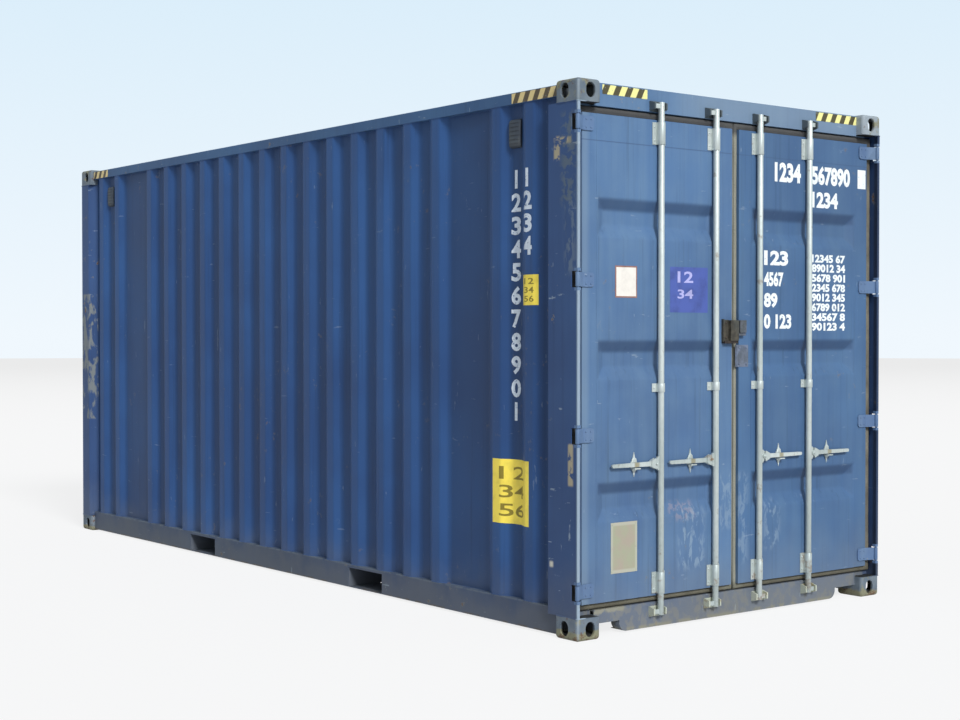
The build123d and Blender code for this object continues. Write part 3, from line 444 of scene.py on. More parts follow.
# The marks of posts, low rail, sill, doors and header, measured in the photograph
streaky, beige, reddish, worn = (0.29, 0.38, 0.46), (0.36, 0.32, 0.23), (0.36, 0.29, 0.31), (0.56, 0.55, 0.48)
nearSide, nearEdge, sillFace = (-1.3, -1.2), (-1.3, -1.1), (0.0, 0.15)
tall = (1.0, 1.0, 0.45)
runs = dict(colour=streaky, broken=0.56, grain=26.0, stretch=tall, soft=0.03)
postMarks = [
    dict(x=(3.0195, 3.04), y=(-1.3, 0.0), colour=(0.33, 0.42, 0.5), amount=0.8),
    # Painted shade: the front of the far door post is darkened
    dict(x=(2.99, 3.04), y=(1.12, 1.3), colour=(0.018, 0.024, 0.036), amount=0.6),
    dict(x=(2.953, 2.992), y=nearSide, z=(0.8, 1.016), colour=beige, broken=0.8, grain=18.0),
    dict(x=(2.84, 2.885), y=nearSide, z=(2.481, 2.606), colour=beige, broken=0.8, grain=20.0),
    dict(x=(2.885, 2.974), y=nearSide, z=(2.565, 2.6), colour=beige, broken=0.7, grain=25.0),
    dict(x=(2.808, 2.836), y=nearSide, z=(0.367, 0.396), colour=worn, broken=0.9),
    dict(x=(-3.05, -2.84), y=nearEdge, z=(0.9, 1.9), colour=(0.26, 0.27, 0.22), amount=0.6, broken=0.55,
         grain=14.0, stretch=(1.0, 1.0, 0.5)),
    dict(x=(2.9, 3.01), y=nearEdge, z=(2.25, 2.72), colour=(0.13, 0.16, 0.15), amount=0.5, broken=0.6,
         grain=22.0, soft=0.03),
    dict(x=(2.93, 3.01), y=nearEdge, z=(1.9, 2.3), colour=(0.2, 0.25, 0.27), amount=0.4, broken=0.55,
         grain=26.0, stretch=(1.0, 1.0, 0.4), soft=0.03),
]
lowRailMarks = [
    dict(z=(0.0, 0.16), x=(-3.0, 0.5), colour=(0.035, 0.052, 0.06), amount=0.55, soft=0.8),
    dict(z=(0.147, 0.16), colour=(0.13, 0.16, 0.19), amount=0.6, broken=0.8, grain=16.0, soft=0.003),
    dict(z=(0.005, 0.022), colour=(0.11, 0.085, 0.055), amount=0.6, broken=0.65, grain=12.0, soft=0.004),
]
sillMarks = [
    dict(y=(-1.06, -0.84), z=(0.118, 0.15), colour=(0.26, 0.255, 0.2), amount=0.9, broken=0.95, grain=14.0),
    dict(z=(0.0, 0.026), colour=(0.28, 0.26, 0.16), amount=0.6, broken=0.7, grain=11.0),
    dict(z=sillFace, colour=(0.22, 0.21, 0.17), amount=0.4, broken=0.55, grain=22.0, stretch=(1.0, 1.0, 0.7)),
    dict(z=sillFace, y=(-0.5, 1.2), colour=(0.145, 0.145, 0.125), amount=0.6, soft=0.3),
]
leftMarks = [
    dict(y=(-1.16, -1.105), colour=(0.2, 0.28, 0.37), amount=0.4, soft=0.02),
    dict(z=(2.586, 2.591), colour=(0.04, 0.07, 0.15), amount=0.6, soft=0.003),
    dict(y=(-0.44, -0.25), z=(0.3, 0.63), amount=0.42, **runs),
    dict(y=(-0.51, -0.32), z=(0.57, 0.67), colour=reddish, amount=0.32, broken=0.6, grain=34.0, soft=0.02),
    dict(y=(-0.13, -0.02), z=(0.5, 0.8), amount=0.32, **runs),
]
rightMarks = [
    dict(z=(2.586, 2.591), colour=(0.04, 0.07, 0.15), amount=0.4, soft=0.003),
    dict(y=(0.24, 0.37), z=(0.36, 0.63), amount=0.35, **runs),
    dict(y=(0.02, 0.1), z=(0.3, 0.8), amount=0.32, **runs),
]
# The sloping tops of the recesses carry painted shade and dirt
for marks, span in ((leftMarks, (-1.03, -0.145)), (rightMarks, (0.145, 1.03))):
    for top in (2.29, 1.545, 0.8):
        marks.append(dict(y=span, z=(top - 0.055, top), colour=(0.025, 0.055, 0.13), amount=0.6, soft=0.012))
headerMarks = [dict(y=(-0.4, 1.6), z=(2.7, 3.0), colour=(0.25, 0.33, 0.41), amount=0.55, soft=0.25)]
sideTint, postTint, rowTint = (0.32, 0.51, 0.645), (0.39, 0.47, 0.56), (0.18, 0.31, 0.4)
sidePaint = bluePaint("sidePaint", 0.05, 0.35, 0.3, 0.8, 0.4, troughShade=0.26, tint=sideTint)
railPaint = bluePaint("railPaint", 0.08, 0.9, 0.9, 0.6, 0.8, tint=(0.54, 0.68, 0.67))
lowRailPaint = bluePaint("lowRailPaint", 0.04, 0.8, 0.9, 0.6, 0.8, tint=rowTint, marks=lowRailMarks)
headerPaint = bluePaint("headerPaint", 0.16, 1.0, 1.0, 0.6, 0.0, tint=(1.08, 1.06, 0.89), marks=headerMarks)
sillPaint = bluePaint("sillPaint", 0.16, 1.0, 1.0, 0.4, 1.0, 0.5, tint=(0.62, 0.66, 0.68), marks=sillMarks)
postPaint = bluePaint("postPaint", 0.1, 1.0, 0.9, 0.6, 0.5, 0.5, tint=postTint, marks=postMarks)
doorPaints = {
    side: bluePaint(side + "DoorPaint", chalk, scuffs, 0.3, 0.8, 0.5, 0.55, tint=tint, marks=marks)
    for side, chalk, scuffs, tint, marks in (
        ("left", 0.26, 0.55, (0.84, 0.9, 0.84), leftMarks),
        ("right", 0.16, 0.45, (0.77, 0.86, 0.79), rightMarks),
    )
}
roofPaint = bluePaint("roofPaint", 0.35, 0.5, 0.9, 0.2, 0.0)
basePaint = bluePaint("basePaint", 0.05, 0.2, 1.0, 0.4, 1.0, 0.5, tint=rowTint)
hingePaint = bluePaint("hingePaint", 0.35, 1.0, 1.0, 0.3, 0.0, tint=(0.95, 0.92, 0.86))
castings = castingPaint("castingPaint")
zincBright = zinc("zincBright", 0.5)
zincStained = zinc("zincStained", 0.9)
handleZinc = zinc("handleZinc", 0.6, rubbed=(-0.781, -0.359, 0.359, 0.781))
keeperPaint = zinc("keeperPaint", 0.9, 0.92)
gasketRubber = rubber("gasketRubber")
darkSteel = rustySteel("darkSteel")
ventCover = ventPlastic("ventCover")
# Near-black steel for a bar that stands for the shadow under the lock box
shadowBlack = rustySteel("shadowBlack", (0.014, 0.011, 0.01), (0.04, 0.028, 0.022))
boxDark = rustySteel("boxDark", (0.03, 0.028, 0.022), (0.085, 0.075, 0.055))
boxPaint = rustySteel("boxPaint", (0.07, 0.08, 0.085), (0.135, 0.155, 0.21))
platePaint = rustySteel("platePaint", (0.115, 0.145, 0.21), (0.185, 0.225, 0.32))
plywood = floorWood("plywood")

wears = (
    (castings, "castings_top castings_bottom"),
    (railPaint, "top_side_rails end_rails"),
    (lowRailPaint, "bottom_side_rails"),
    (basePaint, "cross_members fork_pockets"),
    (plywood, "floor"),
    (sillPaint, "sill"),
    (headerPaint, "header"),
    (postPaint, "door_posts door_post_channels end_posts"),
    (sidePaint, "side_wall_left side_wall_right end_wall"),
    (roofPaint, "roof"),
    (ventCover, "ventilators"),
    (keeperPaint, "cam_keepers"),
    (doorPaints["left"], "door_left_stiles door_left_rails door_left_panel"),
    (doorPaints["right"], "door_right_stiles door_right_rails door_right_panel"),
    (gasketRubber, "door_left_gasket door_right_gasket"),
    (hingePaint, "hinge_pins door_left_hinges door_right_hinges"),
    (boxDark, "door_left_lock_box"),
    (boxPaint, "door_right_lock_box"),
    (zincBright, "door_left_bar_guides door_right_bar_guides door_left_catches door_right_catches"),
    (zincBright, "lock_bar_1 lock_bar_2 lock_bar_3 lock_bar_4"),
    (handleZinc, "handle_1 handle_2 handle_3 handle_4"),
)
for material, names in wears:
    for name in names.split():
        nodes[name].data.materials.clear()
        nodes[name].data.materials.append(material)
print("finishes ready")


# Shapes. Each surface is a grid of points; quads join the neighbours
def quadsOf(rows, columns, start=0, closedAlong=False, closedAcross=False, flip=False):
    index = np.arange(rows * columns).reshape(rows, columns) + start
    if closedAlong:
        index = np.concatenate([index, index[:1]], 0)
    if closedAcross:
        index = np.concatenate([index, index[:, :1]], 1)
    quads = np.stack([index[:-1, :-1], index[1:, :-1], index[1:, 1:], index[:-1, 1:]], -1).reshape(-1, 4)
    return quads[:, ::-1] if flip else quads


def makePiece(name, grids, material, body, slotName, smooth=True, thick=0.0, **joins):
    # grids: one array of rows x columns x 3, or a list of such arrays, joined in one mesh
    grids = grids if isinstance(grids, list) else [grids]
    starts = np.cumsum([0] + [g.shape[0] * g.shape[1] for g in grids])
    points = np.concatenate([g.reshape(-1, 3) for g in grids])
    quads = np.concatenate([quadsOf(*g.shape[:2], start, **joins) for g, start in zip(grids, starts)])
    mesh = bpy.data.meshes.new(name)
    mesh.vertices.add(len(points))
    mesh.vertices.foreach_set("co", points.astype(np.float32).ravel())
    mesh.loops.add(4 * len(quads))
    mesh.loops.foreach_set("vertex_index", quads.astype(np.int32).ravel())
    mesh.polygons.add(len(quads))
    mesh.polygons.foreach_set("loop_start", np.arange(0, 4 * len(quads), 4, dtype=np.int32))
    mesh.polygons.foreach_set("loop_total", np.full(len(quads), 4, dtype=np.int32))
    mesh.update(calc_edges=True)
    mesh.polygons.foreach_set("use_smooth", np.full(len(quads), smooth))
    piece = addPiece(name, mesh, material, body)
    if thick:
        giveThickness(piece, thick)
    return piece


def addPiece(name, mesh, material, body):
    piece = bpy.data.objects.new(name, mesh)
    scene.collection.objects.link(piece)
    if not mesh.materials:
        mesh.materials.append(material)
    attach(piece, body)
    return piece


def giveThickness(piece, thickness, inwards=True):
    # The sheet's rim is a sharp edge, so that the shading of its faces stays flat up to it
    edges = bmesh.new()
    edges.from_mesh(piece.data)
    for edge in edges.edges:
        if edge.is_boundary:
            edge.smooth = False
    edges.to_mesh(piece.data)
    edges.free()
    solid = piece.modifiers.new("thickness", "SOLIDIFY")
    solid.thickness = thickness
    solid.offset = -1.0 if inwards else 1.0
    solid.use_even_offset = inwards


rounding = {"segments": 2, "overAngle": 35.0, "weld": 1e-5, "steel": 0.0015}


def roundEdges(piece, width):
    weld = piece.modifiers.new("weld", "WELD")
    weld.merge_threshold = rounding["weld"]
    bevel = piece.modifiers.new("bevel", "BEVEL")
    bevel.width = width
    bevel.segments = rounding["segments"]
    bevel.limit_method = "ANGLE"
    bevel.angle_limit = math.radians(rounding["overAngle"])
    bevel.harden_normals = True


def softFold(u, bend):
    # A ramp from 0 at u = 0 to 1 at u = 1 with both ends rounded: the plain ramp's
    # average over a window of width 2 * bend, from its integral u * u / 2
    area = lambda v: np.where(v < 0, 0.0, np.where(v > 1, v - 0.5, v * v / 2))
    return (area(u + bend) - area(u - bend)) / (2 * bend)


def foldHeight(x, middles, fold):
    # Height of a folded sheet, 0 in its troughs and 1 on its crests: for each crest,
    # a soft ramp in the distance from its middle
    slope = fold["slope"]
    away = np.abs(x[..., None] - middles)
    return softFold((fold["flat"] / 2 + slope - away) / slope, fold["bend"] / (2 * slope)).max(-1)


def foldStations(middles, fold, low, high, between=2):
    # Places along a folded sheet where its grid needs columns: five round each bend
    half = fold["flat"] / 2
    edges = np.concatenate([middles + s * r for s in (-1, 1) for r in (half, half + fold["slope"])])
    near = (edges[:, None] + fold["bend"] / 2 * np.linspace(-1, 1, 5)).ravel()
    inside = near[(near > low) & (near < high)]
    inside = np.unique(np.round(np.concatenate([[low, high], inside]), 6))
    steps = np.linspace(0, 1, between + 2)[1:-1]
    wide = np.diff(inside) > 0.02
    extra = (inside[:-1, None] + np.diff(inside)[:, None] * steps)[wide].ravel()
    return np.unique(np.concatenate([inside, extra]))


def dents(a, b, seed, size, waves=7):
    # Slight buckles of thin sheet: a sum of sine waves with set random lengths and turns
    draw = np.random.default_rng(seed)
    total = np.zeros(np.broadcast(a, b).shape)
    for k in range(waves):
        turnA, turnB = draw.normal(0, 4.5, 2)
        total += np.sin(a * turnA + b * turnB + draw.uniform(0, 6.28)) / waves
    return size * total


# Side walls: one folded sheet each, with a wide plain bay towards both ends
wall = {"sheet": 0.002, "depth": 0.036, "flat": 0.072, "slope": 0.068, "first": 0.14, "eachWay": 10}
wall.update({"plainBay": 7, "shift": -0.055, "bend": 0.02, "rows": 46, "buckle": 0.0016, "inset": 0.001})
wallPitch = 2 * (wall["flat"] + wall["slope"])
offsets = np.array([wall["first"] + wallPitch * k for k in range(wall["eachWay"]) if k != wall["plainBay"]])
wallMiddles = wall["shift"] + np.concatenate([-offsets[::-1], offsets])
wallLow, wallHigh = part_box("side_wall_left")
wallCrest = -wallLow.y


def onWall(side, x, z, lift=0.0):
    # Points on the outer face of a side wall, folds and buckles included
    out = wallCrest - wall["depth"] * (1 - foldHeight(x, wallMiddles, wall))
    calm = np.sin(np.pi * (z - wallLow.z) / (wallHigh.z - wallLow.z))
    sign = sideOf[side]
    out = out - wall["inset"] + dents(x * 2, z, 11 + sign, wall["buckle"]) * calm + lift
    return np.stack([x, sign * out, z], -1)


wallStations = foldStations(wallMiddles, wall, wallLow.x, wallHigh.x)
for side, sign in sideOf.items():
    x, z = np.meshgrid(wallStations, np.linspace(wallLow.z, wallHigh.z, wall["rows"]))
    joins = {"thick": wall["sheet"], "flip": sign < 0}
    piece = makePiece(f"wall_sheet_{side}", onWall(side, x, z), sidePaint, "frame", "blue_paint", **joins)
    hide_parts(f"side_wall_{side}")

# End wall: deeper, narrower folds
endWall = {"depth": 0.045, "flat": 0.104, "slope": 0.018, "crests": 8, "bend": 0.01}
endWall.update({"rows": 40, "buckle": 0.0015, "inset": 0.001})
endLow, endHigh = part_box("end_wall")
endPitch = 2 * (endWall["flat"] + endWall["slope"])
endMiddles = (np.arange(endWall["crests"]) - (endWall["crests"] - 1) / 2) * endPitch
ys = foldStations(endMiddles, endWall, endLow.y, endHigh.y)
y, z = np.meshgrid(ys, np.linspace(endLow.z, endHigh.z, endWall["rows"]))
height = foldHeight(y, endMiddles, endWall)
calm = np.sin(np.pi * (z - endLow.z) / (endHigh.z - endLow.z))
x = endLow.x + endWall["inset"] + endWall["depth"] * (1 - height)
x = x + dents(y * 2, z, 5, endWall["buckle"]) * calm
endYs, endFoot = ys, x[0]
grid = np.stack([x, y, z], -1)
piece = makePiece("end_wall_sheet", grid, sidePaint, "frame", "blue_paint", thick=wall["sheet"], flip=True)
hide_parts("end_wall")

# Roof: flat sheet with pressed troughs across it
roof = {"pitch": 0.209, "troughs": 26, "flat": 0.091, "slope": 0.026, "depth": 0.02, "length": 2.2}
roof.update({"bend": 0.012, "sag": 0.003, "buckle": 0.0015})
roofLow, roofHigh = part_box("roof")
roofMiddles = (np.arange(roof["troughs"]) - (roof["troughs"] - 1) / 2) * roof["pitch"]
casting = {"long": 0.178, "wide": 0.162, "high": 0.118}
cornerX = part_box("castings_top")[1].x - casting["long"]
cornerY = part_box("castings_top")[1].y - casting["wide"]
xs = foldStations(roofMiddles, roof, -cornerX, cornerX, 1)
endRun = roof["length"] / 2 - roof["slope"]
turns = endRun + np.array([[0.0], [1.0]]) * roof["slope"]
bends = (turns + roof["bend"] / 2 * np.linspace(-1, 1, 4)).ravel()
level = np.linspace(-endRun, endRun, 13)[1:-1]
ys = np.unique(np.concatenate([-bends, level, bends, [roofLow.y, roofHigh.y]]))
x, y = np.meshgrid(xs, ys)
across = foldHeight(x, roofMiddles, roof)
along = softFold((roof["length"] / 2 - np.abs(y)) / roof["slope"], roof["bend"] / 2 / roof["slope"])
rim = np.clip((roofHigh.y - np.abs(y)) / 0.3, 0, 1) * np.clip((cornerX - np.abs(x)) / 0.3, 0, 1)
z = roofHigh.z - roof["depth"] * np.minimum(across, along) - roof["sag"] * rim
z = z + dents(x, y * 2, 3, roof["buckle"]) * rim
grids = [np.stack([x, y, z], -1)]
for low, high in ((roofLow.x, -cornerX), (cornerX, roofHigh.x)):
    x, y = np.meshgrid(np.linspace(low, high, 3), np.linspace(-cornerY, cornerY, 12))
    grids.append(np.stack([x, y, np.full_like(x, roofHigh.z)], -1))
piece = makePiece("roof_sheet", grids, roofPaint, "frame", "blue_paint", thick=wall["sheet"], flip=True)
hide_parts("roof")
print("walls and roof ready")

# Door panels: flat sheet with three pressed recesses
panel = {"recesses": 3, "slope": 0.0685, "flat": 0.072, "top": 2.297, "pitch": 0.745, "depth": 0.036}
panel.update({"margin": 0.006, "bend": 0.018, "buckle": 0.0013, "inset": 0.0009})
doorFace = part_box("door_left_panel")[1].x
highest = panel["top"] - panel["flat"] / 2 - panel["slope"]
recessMiddles = highest - panel["pitch"] * np.arange(panel["recesses"])
doorFolds = {}
for side in sideOf:
    low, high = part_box(f"door_{side}_panel")
    acrossFold = {**panel, "flat": high.y - low.y - 2 * panel["margin"] - 2 * panel["slope"]}
    doorFolds[side] = low, high, np.array([(low.y + high.y) / 2]), acrossFold


def onDoor(side, y, z, lift=0.0):
    # Points on a door's face; the panel between the stiles and rails is pressed and buckled
    low, high, middleY, acrossFold = doorFolds[side]
    pressed = np.minimum(foldHeight(y, middleY, acrossFold), foldHeight(z, recessMiddles, panel))
    calm = np.sin(np.pi * np.clip((z - low.z) / (high.z - low.z), 0, 1))
    calm = calm * np.sin(np.pi * np.clip((y - low.y) / (high.y - low.y), 0, 1))
    buckle = dents(y * 2, z * 2, 21 + sideOf[side], panel["buckle"]) - panel["inset"]
    x = doorFace - panel["depth"] * pressed + buckle * calm
    return np.stack([np.minimum(x, doorFace) + lift, y, z], -1)


for side, (low, high, middleY, acrossFold) in doorFolds.items():
    ys = foldStations(middleY, acrossFold, low.y, high.y, 14)
    y, z = np.meshgrid(ys, foldStations(recessMiddles, panel, low.z, high.z, 4))
    grid = onDoor(side, y, z)
    joins = {"thick": wall["sheet"], "flip": True}
    piece = makePiece(f"door_{side}_sheet", grid, doorPaints[side], "door_" + side, "blue_paint", **joins)
    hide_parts(f"door_{side}_panel")
print("door sheets ready")

# Gaskets: a soft ridge all round each door, pressed flat at its rims
gasket = {"across": 9, "bulge": 0.01, "step": 0.15, "wave": 0.0015, "round": 2.6}
gasket.update({"groove": 0.35, "grooveAt": 0.3, "grooveWide": 0.07})


def loopPoints(low, high, count, extra):
    # A rectangle's rim as points: the same share of each side, so that two rims match
    corners = np.array([(low[0], low[1]), (high[0], low[1]), (high[0], high[1]), (low[0], high[1])])
    runs = []
    for start, end, steps in zip(corners, np.roll(corners, -1, 0), (count, extra, count, extra)):
        runs.append(start + (end - start) * np.linspace(0, 1, steps, endpoint=False)[:, None])
    return np.concatenate(runs)


for side, sign in sideOf.items():
    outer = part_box(f"door_{side}_gasket")
    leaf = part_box(f"door_{side}_stiles")
    steps = int((outer[1].y - outer[0].y) / gasket["step"]), int((outer[1].z - outer[0].z) / gasket["step"])
    rims = [loopPoints((b[0].y, b[0].z), (b[1].y, b[1].z), *steps) for b in (leaf, outer)]
    along = np.arange(len(rims[0]))[:, None]
    u = np.linspace(0, 1, gasket["across"])[None, :]
    ridge = np.sqrt(np.clip(1 - np.abs(2 * u - 1) ** gasket["round"], 0, 1))
    groove = gasket["groove"] * np.exp(-(((u - gasket["grooveAt"]) / gasket["grooveWide"]) ** 2))
    waves = gasket["wave"] * (np.sin(along * 1.7 + sign) + np.sin(along * 0.61)) * ridge
    front = outer[1].x - gasket["bulge"] * (1 - ridge + groove) - np.abs(waves)
    yz = rims[0][:, None] * (1 - u[..., None]) + rims[1][:, None] * u[..., None]
    face = np.concatenate([front[..., None], yz], -1)
    back = face[:, ::-1][:, [0, -1]].copy()
    back[..., 0] = outer[0].x
    grid = np.concatenate([face, back], 1)
    joins = {"closedAlong": True, "closedAcross": True, "flip": True}
    piece = makePiece(f"gasket_lip_{side}", grid, gasketRubber, "door_" + side, "gasket_rubber", **joins)
    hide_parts(f"door_{side}_gasket")
print("gaskets ready")

# Ventilator covers: a rounded shell with louvres that open downwards
vent = {"rows": 73, "columns": 23, "louvres": 6, "louvre": 0.0045, "softness": 3.2, "endSoftness": 7}
vent.update({"wide": 0.11, "deep": 0.033, "louvreWide": 0.72, "louvreHigh": 0.86, "pinch": 0.16})
ventLow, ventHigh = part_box("ventilators")
ventFoot = ventHigh.y - vent["deep"]
grids = []
for sign in (-1, 1):
    for middle in (ventLow.x + vent["wide"] / 2, ventHigh.x - vent["wide"] / 2):
        v = np.linspace(-1, 1, vent["rows"])[:, None]
        u = np.sin(np.linspace(-1, 1, vent["columns"]) * np.pi / 2)[None, :]
        shell = (1 - np.abs(u) ** vent["softness"]) ** 0.5 * (1 - np.abs(v) ** vent["endSoftness"]) ** 0.5
        louvre = ((v * 0.5 + 0.5) * (vent["louvres"] + 1.0)) % 1.0
        inner = (np.abs(u) < vent["louvreWide"]) * np.clip((vent["louvreHigh"] - np.abs(v)) * 30, 0, 1)
        out = ventFoot + (vent["deep"] - vent["louvre"] * louvre * inner) * shell
        z = (ventLow.z + ventHigh.z) / 2 + v * (ventHigh.z - ventLow.z) / 2 + 0 * u
        x = middle + u * vent["wide"] / 2 * (1 - vent["pinch"] * (shell < 0.4)) + 0 * v
        grids.append(np.stack([x, sign * out, z], -1)[:, :: -sign])
piece = makePiece("vent_covers", grids, ventCover, "frame", "grey_plastic", thick=wall["sheet"], flip=True)
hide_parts("ventilators")

# Small parts. Their own axes are across, up and out; a facing turns them onto a surface
facings = {
    "doors": ((0, 1, 0), (0, 0, 1), (1, 0, 0)),
    "up": ((1, 0, 0), (0, 1, 0), (0, 0, 1)),
    "inside": ((0, -1, 0), (0, 0, 1), (-1, 0, 0)),
}


def placed(grid, facing, places):
    return [grid @ np.array(facings[facing], dtype=float) + np.array(place) for place in places]


def turnedRound(profile, sides):
    # A profile of (radius, out) pairs turned round the out axis
    angle = np.arange(sides) * 2 * np.pi / sides
    radius, out = np.array(profile).T
    ring = radius[:, None] * np.cos(angle), radius[:, None] * np.sin(angle), np.repeat(out[:, None], sides, 1)
    return np.stack(ring, -1)


def rivet(radius, height):
    # A low dome on a short upright rim
    rim = [(radius, -0.0005), (radius, height * 0.3)]
    dome = [(radius * 0.75, height * 0.8), (radius * 0.3, height), (radius * 0.01, height)]
    return turnedRound(rim + dome, 10)


def hexHead(radius, height):
    # Six flats on a wider foot, with a narrow chamfer above
    washer = [(radius * 1.35, -0.0005), (radius * 1.35, height * 0.22), (radius, height * 0.22)]
    return turnedRound(washer + [(radius, height * 0.9), (radius * 0.86, height), (radius * 0.01, height)], 6)


def fasten(name, heads, material, body, slotName="galvanised_steel", smooth=True):
    makePiece(name, heads, material, body, slotName, smooth, closedAcross=True, flip=True)


# Rivets of the guides and hinge blades, and the pins of the handles
fixings = {
    "guideRows": (0.213, 0.283, 1.295, 2.62, 2.69),
    "guideFlange": 0.0345,
    "guideFace": 0.004,
    "guideRivet": (0.0065, 0.004),
    "bladeRows": 0.25 + (2.672 - 0.25) / 3 * np.arange(4),
    "bladeColumns": (0.022, 0.056),
    "bladePair": (-0.021, 0.021),
    "bladeFace": 0.008,
    "bladeRivet": (0.006, 0.0035),
    "barRadius": 0.017,
    "earHalf": 0.0115,
    "pinHeight": 0.89,
    "pinAt": 0.038,
    "pinHead": (0.0085, 0.006),
    "pinFoot": (0.009, 0.004),
}
barPlaces = {"1": ("left", -0.6), "2": ("left", -0.178), "3": ("right", 0.178), "4": ("right", 0.6)}
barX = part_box("lock_bar_1")[0].x + fixings["barRadius"]
for side, sign in sideOf.items():
    bars = [across for s, across in barPlaces.values() if s == side]
    columns = [across + step * fixings["guideFlange"] for across in bars for step in (-1, 1)]
    places = [(doorFace + fixings["guideFace"], y, z) for y in columns for z in fixings["guideRows"]]
    heads = placed(rivet(*fixings["guideRivet"]), "doors", places)
    fasten(f"guide_rivets_{side}", heads, zincBright, "door_" + side)
    inner = min(abs(corner.y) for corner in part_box(f"door_{side}_hinges"))
    places = [
        (doorFace + fixings["bladeFace"], sign * (inner + across), z + up)
        for z in fixings["bladeRows"] for across in fixings["bladeColumns"] for up in fixings["bladePair"]
    ]
    heads = placed(rivet(*fixings["bladeRivet"]), "doors", places)
    fasten(f"blade_rivets_{side}", heads, hingePaint, "door_" + side, "blue_paint")
for number, (side, across) in barPlaces.items():
    y = across + sideOf[side] * fixings["pinAt"]
    front, back = ((barX + s * fixings["earHalf"], y, fixings["pinHeight"]) for s in (1, -1))
    heads = placed(hexHead(*fixings["pinHead"]), "doors", [front])
    heads += placed(rivet(*fixings["pinFoot"]), "inside", [back])
    fasten(f"handle_pin_{number}", heads, zincStained, "lock_bar_" + number, smooth=False)
print("fixings ready")


# Markings: flat film and plain painted digits, laid on the steel
def film(name, colour, grime=0.25, chips=0.0):
    # Where paint is chipped, the blue under it shows
    coat = Finish(name)
    dirt = coat.noise(14.0, 5.0, 0.6).rise(0.4, 0.75)
    coat.colour = coat.shade(colour, 1.0 - dirt * grime)
    if chips:
        chipped = coat.noise(75.0, 5.0, 0.65, shift=(1.0, 2.0, 1.0))
        coat.over(chipped.rise(0.66 - 0.12 * chips, 0.7 - 0.12 * chips), (0.06, 0.125, 0.29))
    return coat.close(0.55)


stripePitch = 0.083


def stripes(name, axis, lean, pale=(0.8, 0.76, 0.3), dark=(0.065, 0.055, 0.02)):
    # Slanted bars of pale yellow and near black
    coat = Finish(name)
    turn = ((getattr(coat, axis) - coat.z * lean) / stripePitch).rest()
    bar = (turn - 0.5).size().rise(0.235, 0.265)
    coat.colour = coat.mix(bar, pale, dark)
    coat.over(coat.noise(55.0, 6.0, 0.65).rise(0.6, 0.66) * 0.6, (0.24, 0.3, 0.32))
    return coat.close(0.5)


whitePaint = film("whitePaint", (0.82, 0.87, 0.87), 0.12, 0.2)
sideWhite = film("sideWhite", (0.66, 0.74, 0.84), 0.2, 0.5)
yellowFilm = film("yellowFilm", (0.97, 0.77, 0.1), 0.18)
darkFilm = film("darkFilm", (0.26, 0.2, 0.02), 0.2)
blueFilm = film("blueFilm", (0.062, 0.1, 0.36), 0.3)
palePaint = film("palePaint", (0.42, 0.42, 0.74), 0.2)
offWhite = film("offWhite", (0.8, 0.76, 0.7), 0.15)
claret = film("claret", (0.3, 0.15, 0.12), 0.3)
filmThick = 0.0003


def digits(text, width, height, cuts, bold):
    # Flat faces of plain digits from (0, 0) to (width, height), cut upright at set places;
    # with no width they keep their own
    curve = bpy.data.curves.new("digits", "FONT")
    curve.body = text
    curve.resolution_u = 3
    curve.offset = bold
    holder = bpy.data.objects.new("digits", curve)
    scene.collection.objects.link(holder)
    mesh = bpy.data.meshes.new_from_object(holder.evaluated_get(bpy.context.evaluated_depsgraph_get()))
    bpy.data.objects.remove(holder)
    shape = bmesh.new()
    shape.from_mesh(mesh)
    bpy.data.meshes.remove(mesh)
    points = np.array([v.co for v in shape.verts])
    low, high = points.min(0), points.max(0)
    tall = height / (high[1] - low[1])
    wide = width / (high[0] - low[0]) if width else tall
    for v in shape.verts:
        v.co = ((v.co.x - low[0]) * wide, (v.co.y - low[1]) * tall, 0.0)
    for cut in cuts:
        geometry = shape.verts[:] + shape.edges[:] + shape.faces[:]
        bmesh.ops.bisect_plane(shape, geom=geometry, plane_co=(cut, 0, 0), plane_no=(1, 0, 0))
    shape.verts.index_update()
    points = np.array([v.co[:2] for v in shape.verts])
    faces = [[v.index for v in f.verts] for f in shape.faces]
    shape.free()
    return points, faces


def layDigits(name, rows, surface, stations, material, body, bold):
    # rows: text, left, bottom, width, height; surface turns places on the steel into points
    points, faces, start = [], [], 0
    for text, left, bottom, width, height in rows:
        cuts = [s - left for s in stations if 0.001 < s - left < 0.4]
        flat, made = digits(text, width, height, cuts, bold)
        points.append(surface(flat[:, 0] + left, flat[:, 1] + bottom))
        faces += [[k + start for k in f] for f in made]
        start += len(flat)
    mesh = bpy.data.meshes.new(name)
    mesh.from_pydata(np.concatenate(points).tolist(), [], faces)
    giveThickness(addPiece(name, mesh, material, body), filmThick, False)


def layPatch(name, surface, spans, stations, material, body, thickness=filmThick, slotName="blue_paint"):
    # A rectangle of film, left, right, bottom and top, with a column of points at each station
    left, right, bottom, top = spans
    us = np.unique(np.concatenate([[left, right], [s for s in stations if left < s < right]]))
    u, v = np.meshgrid(us, np.linspace(bottom, top, 6))
    giveThickness(makePiece(name, surface(u, v), material, body, slotName, flip=True), thickness, False)


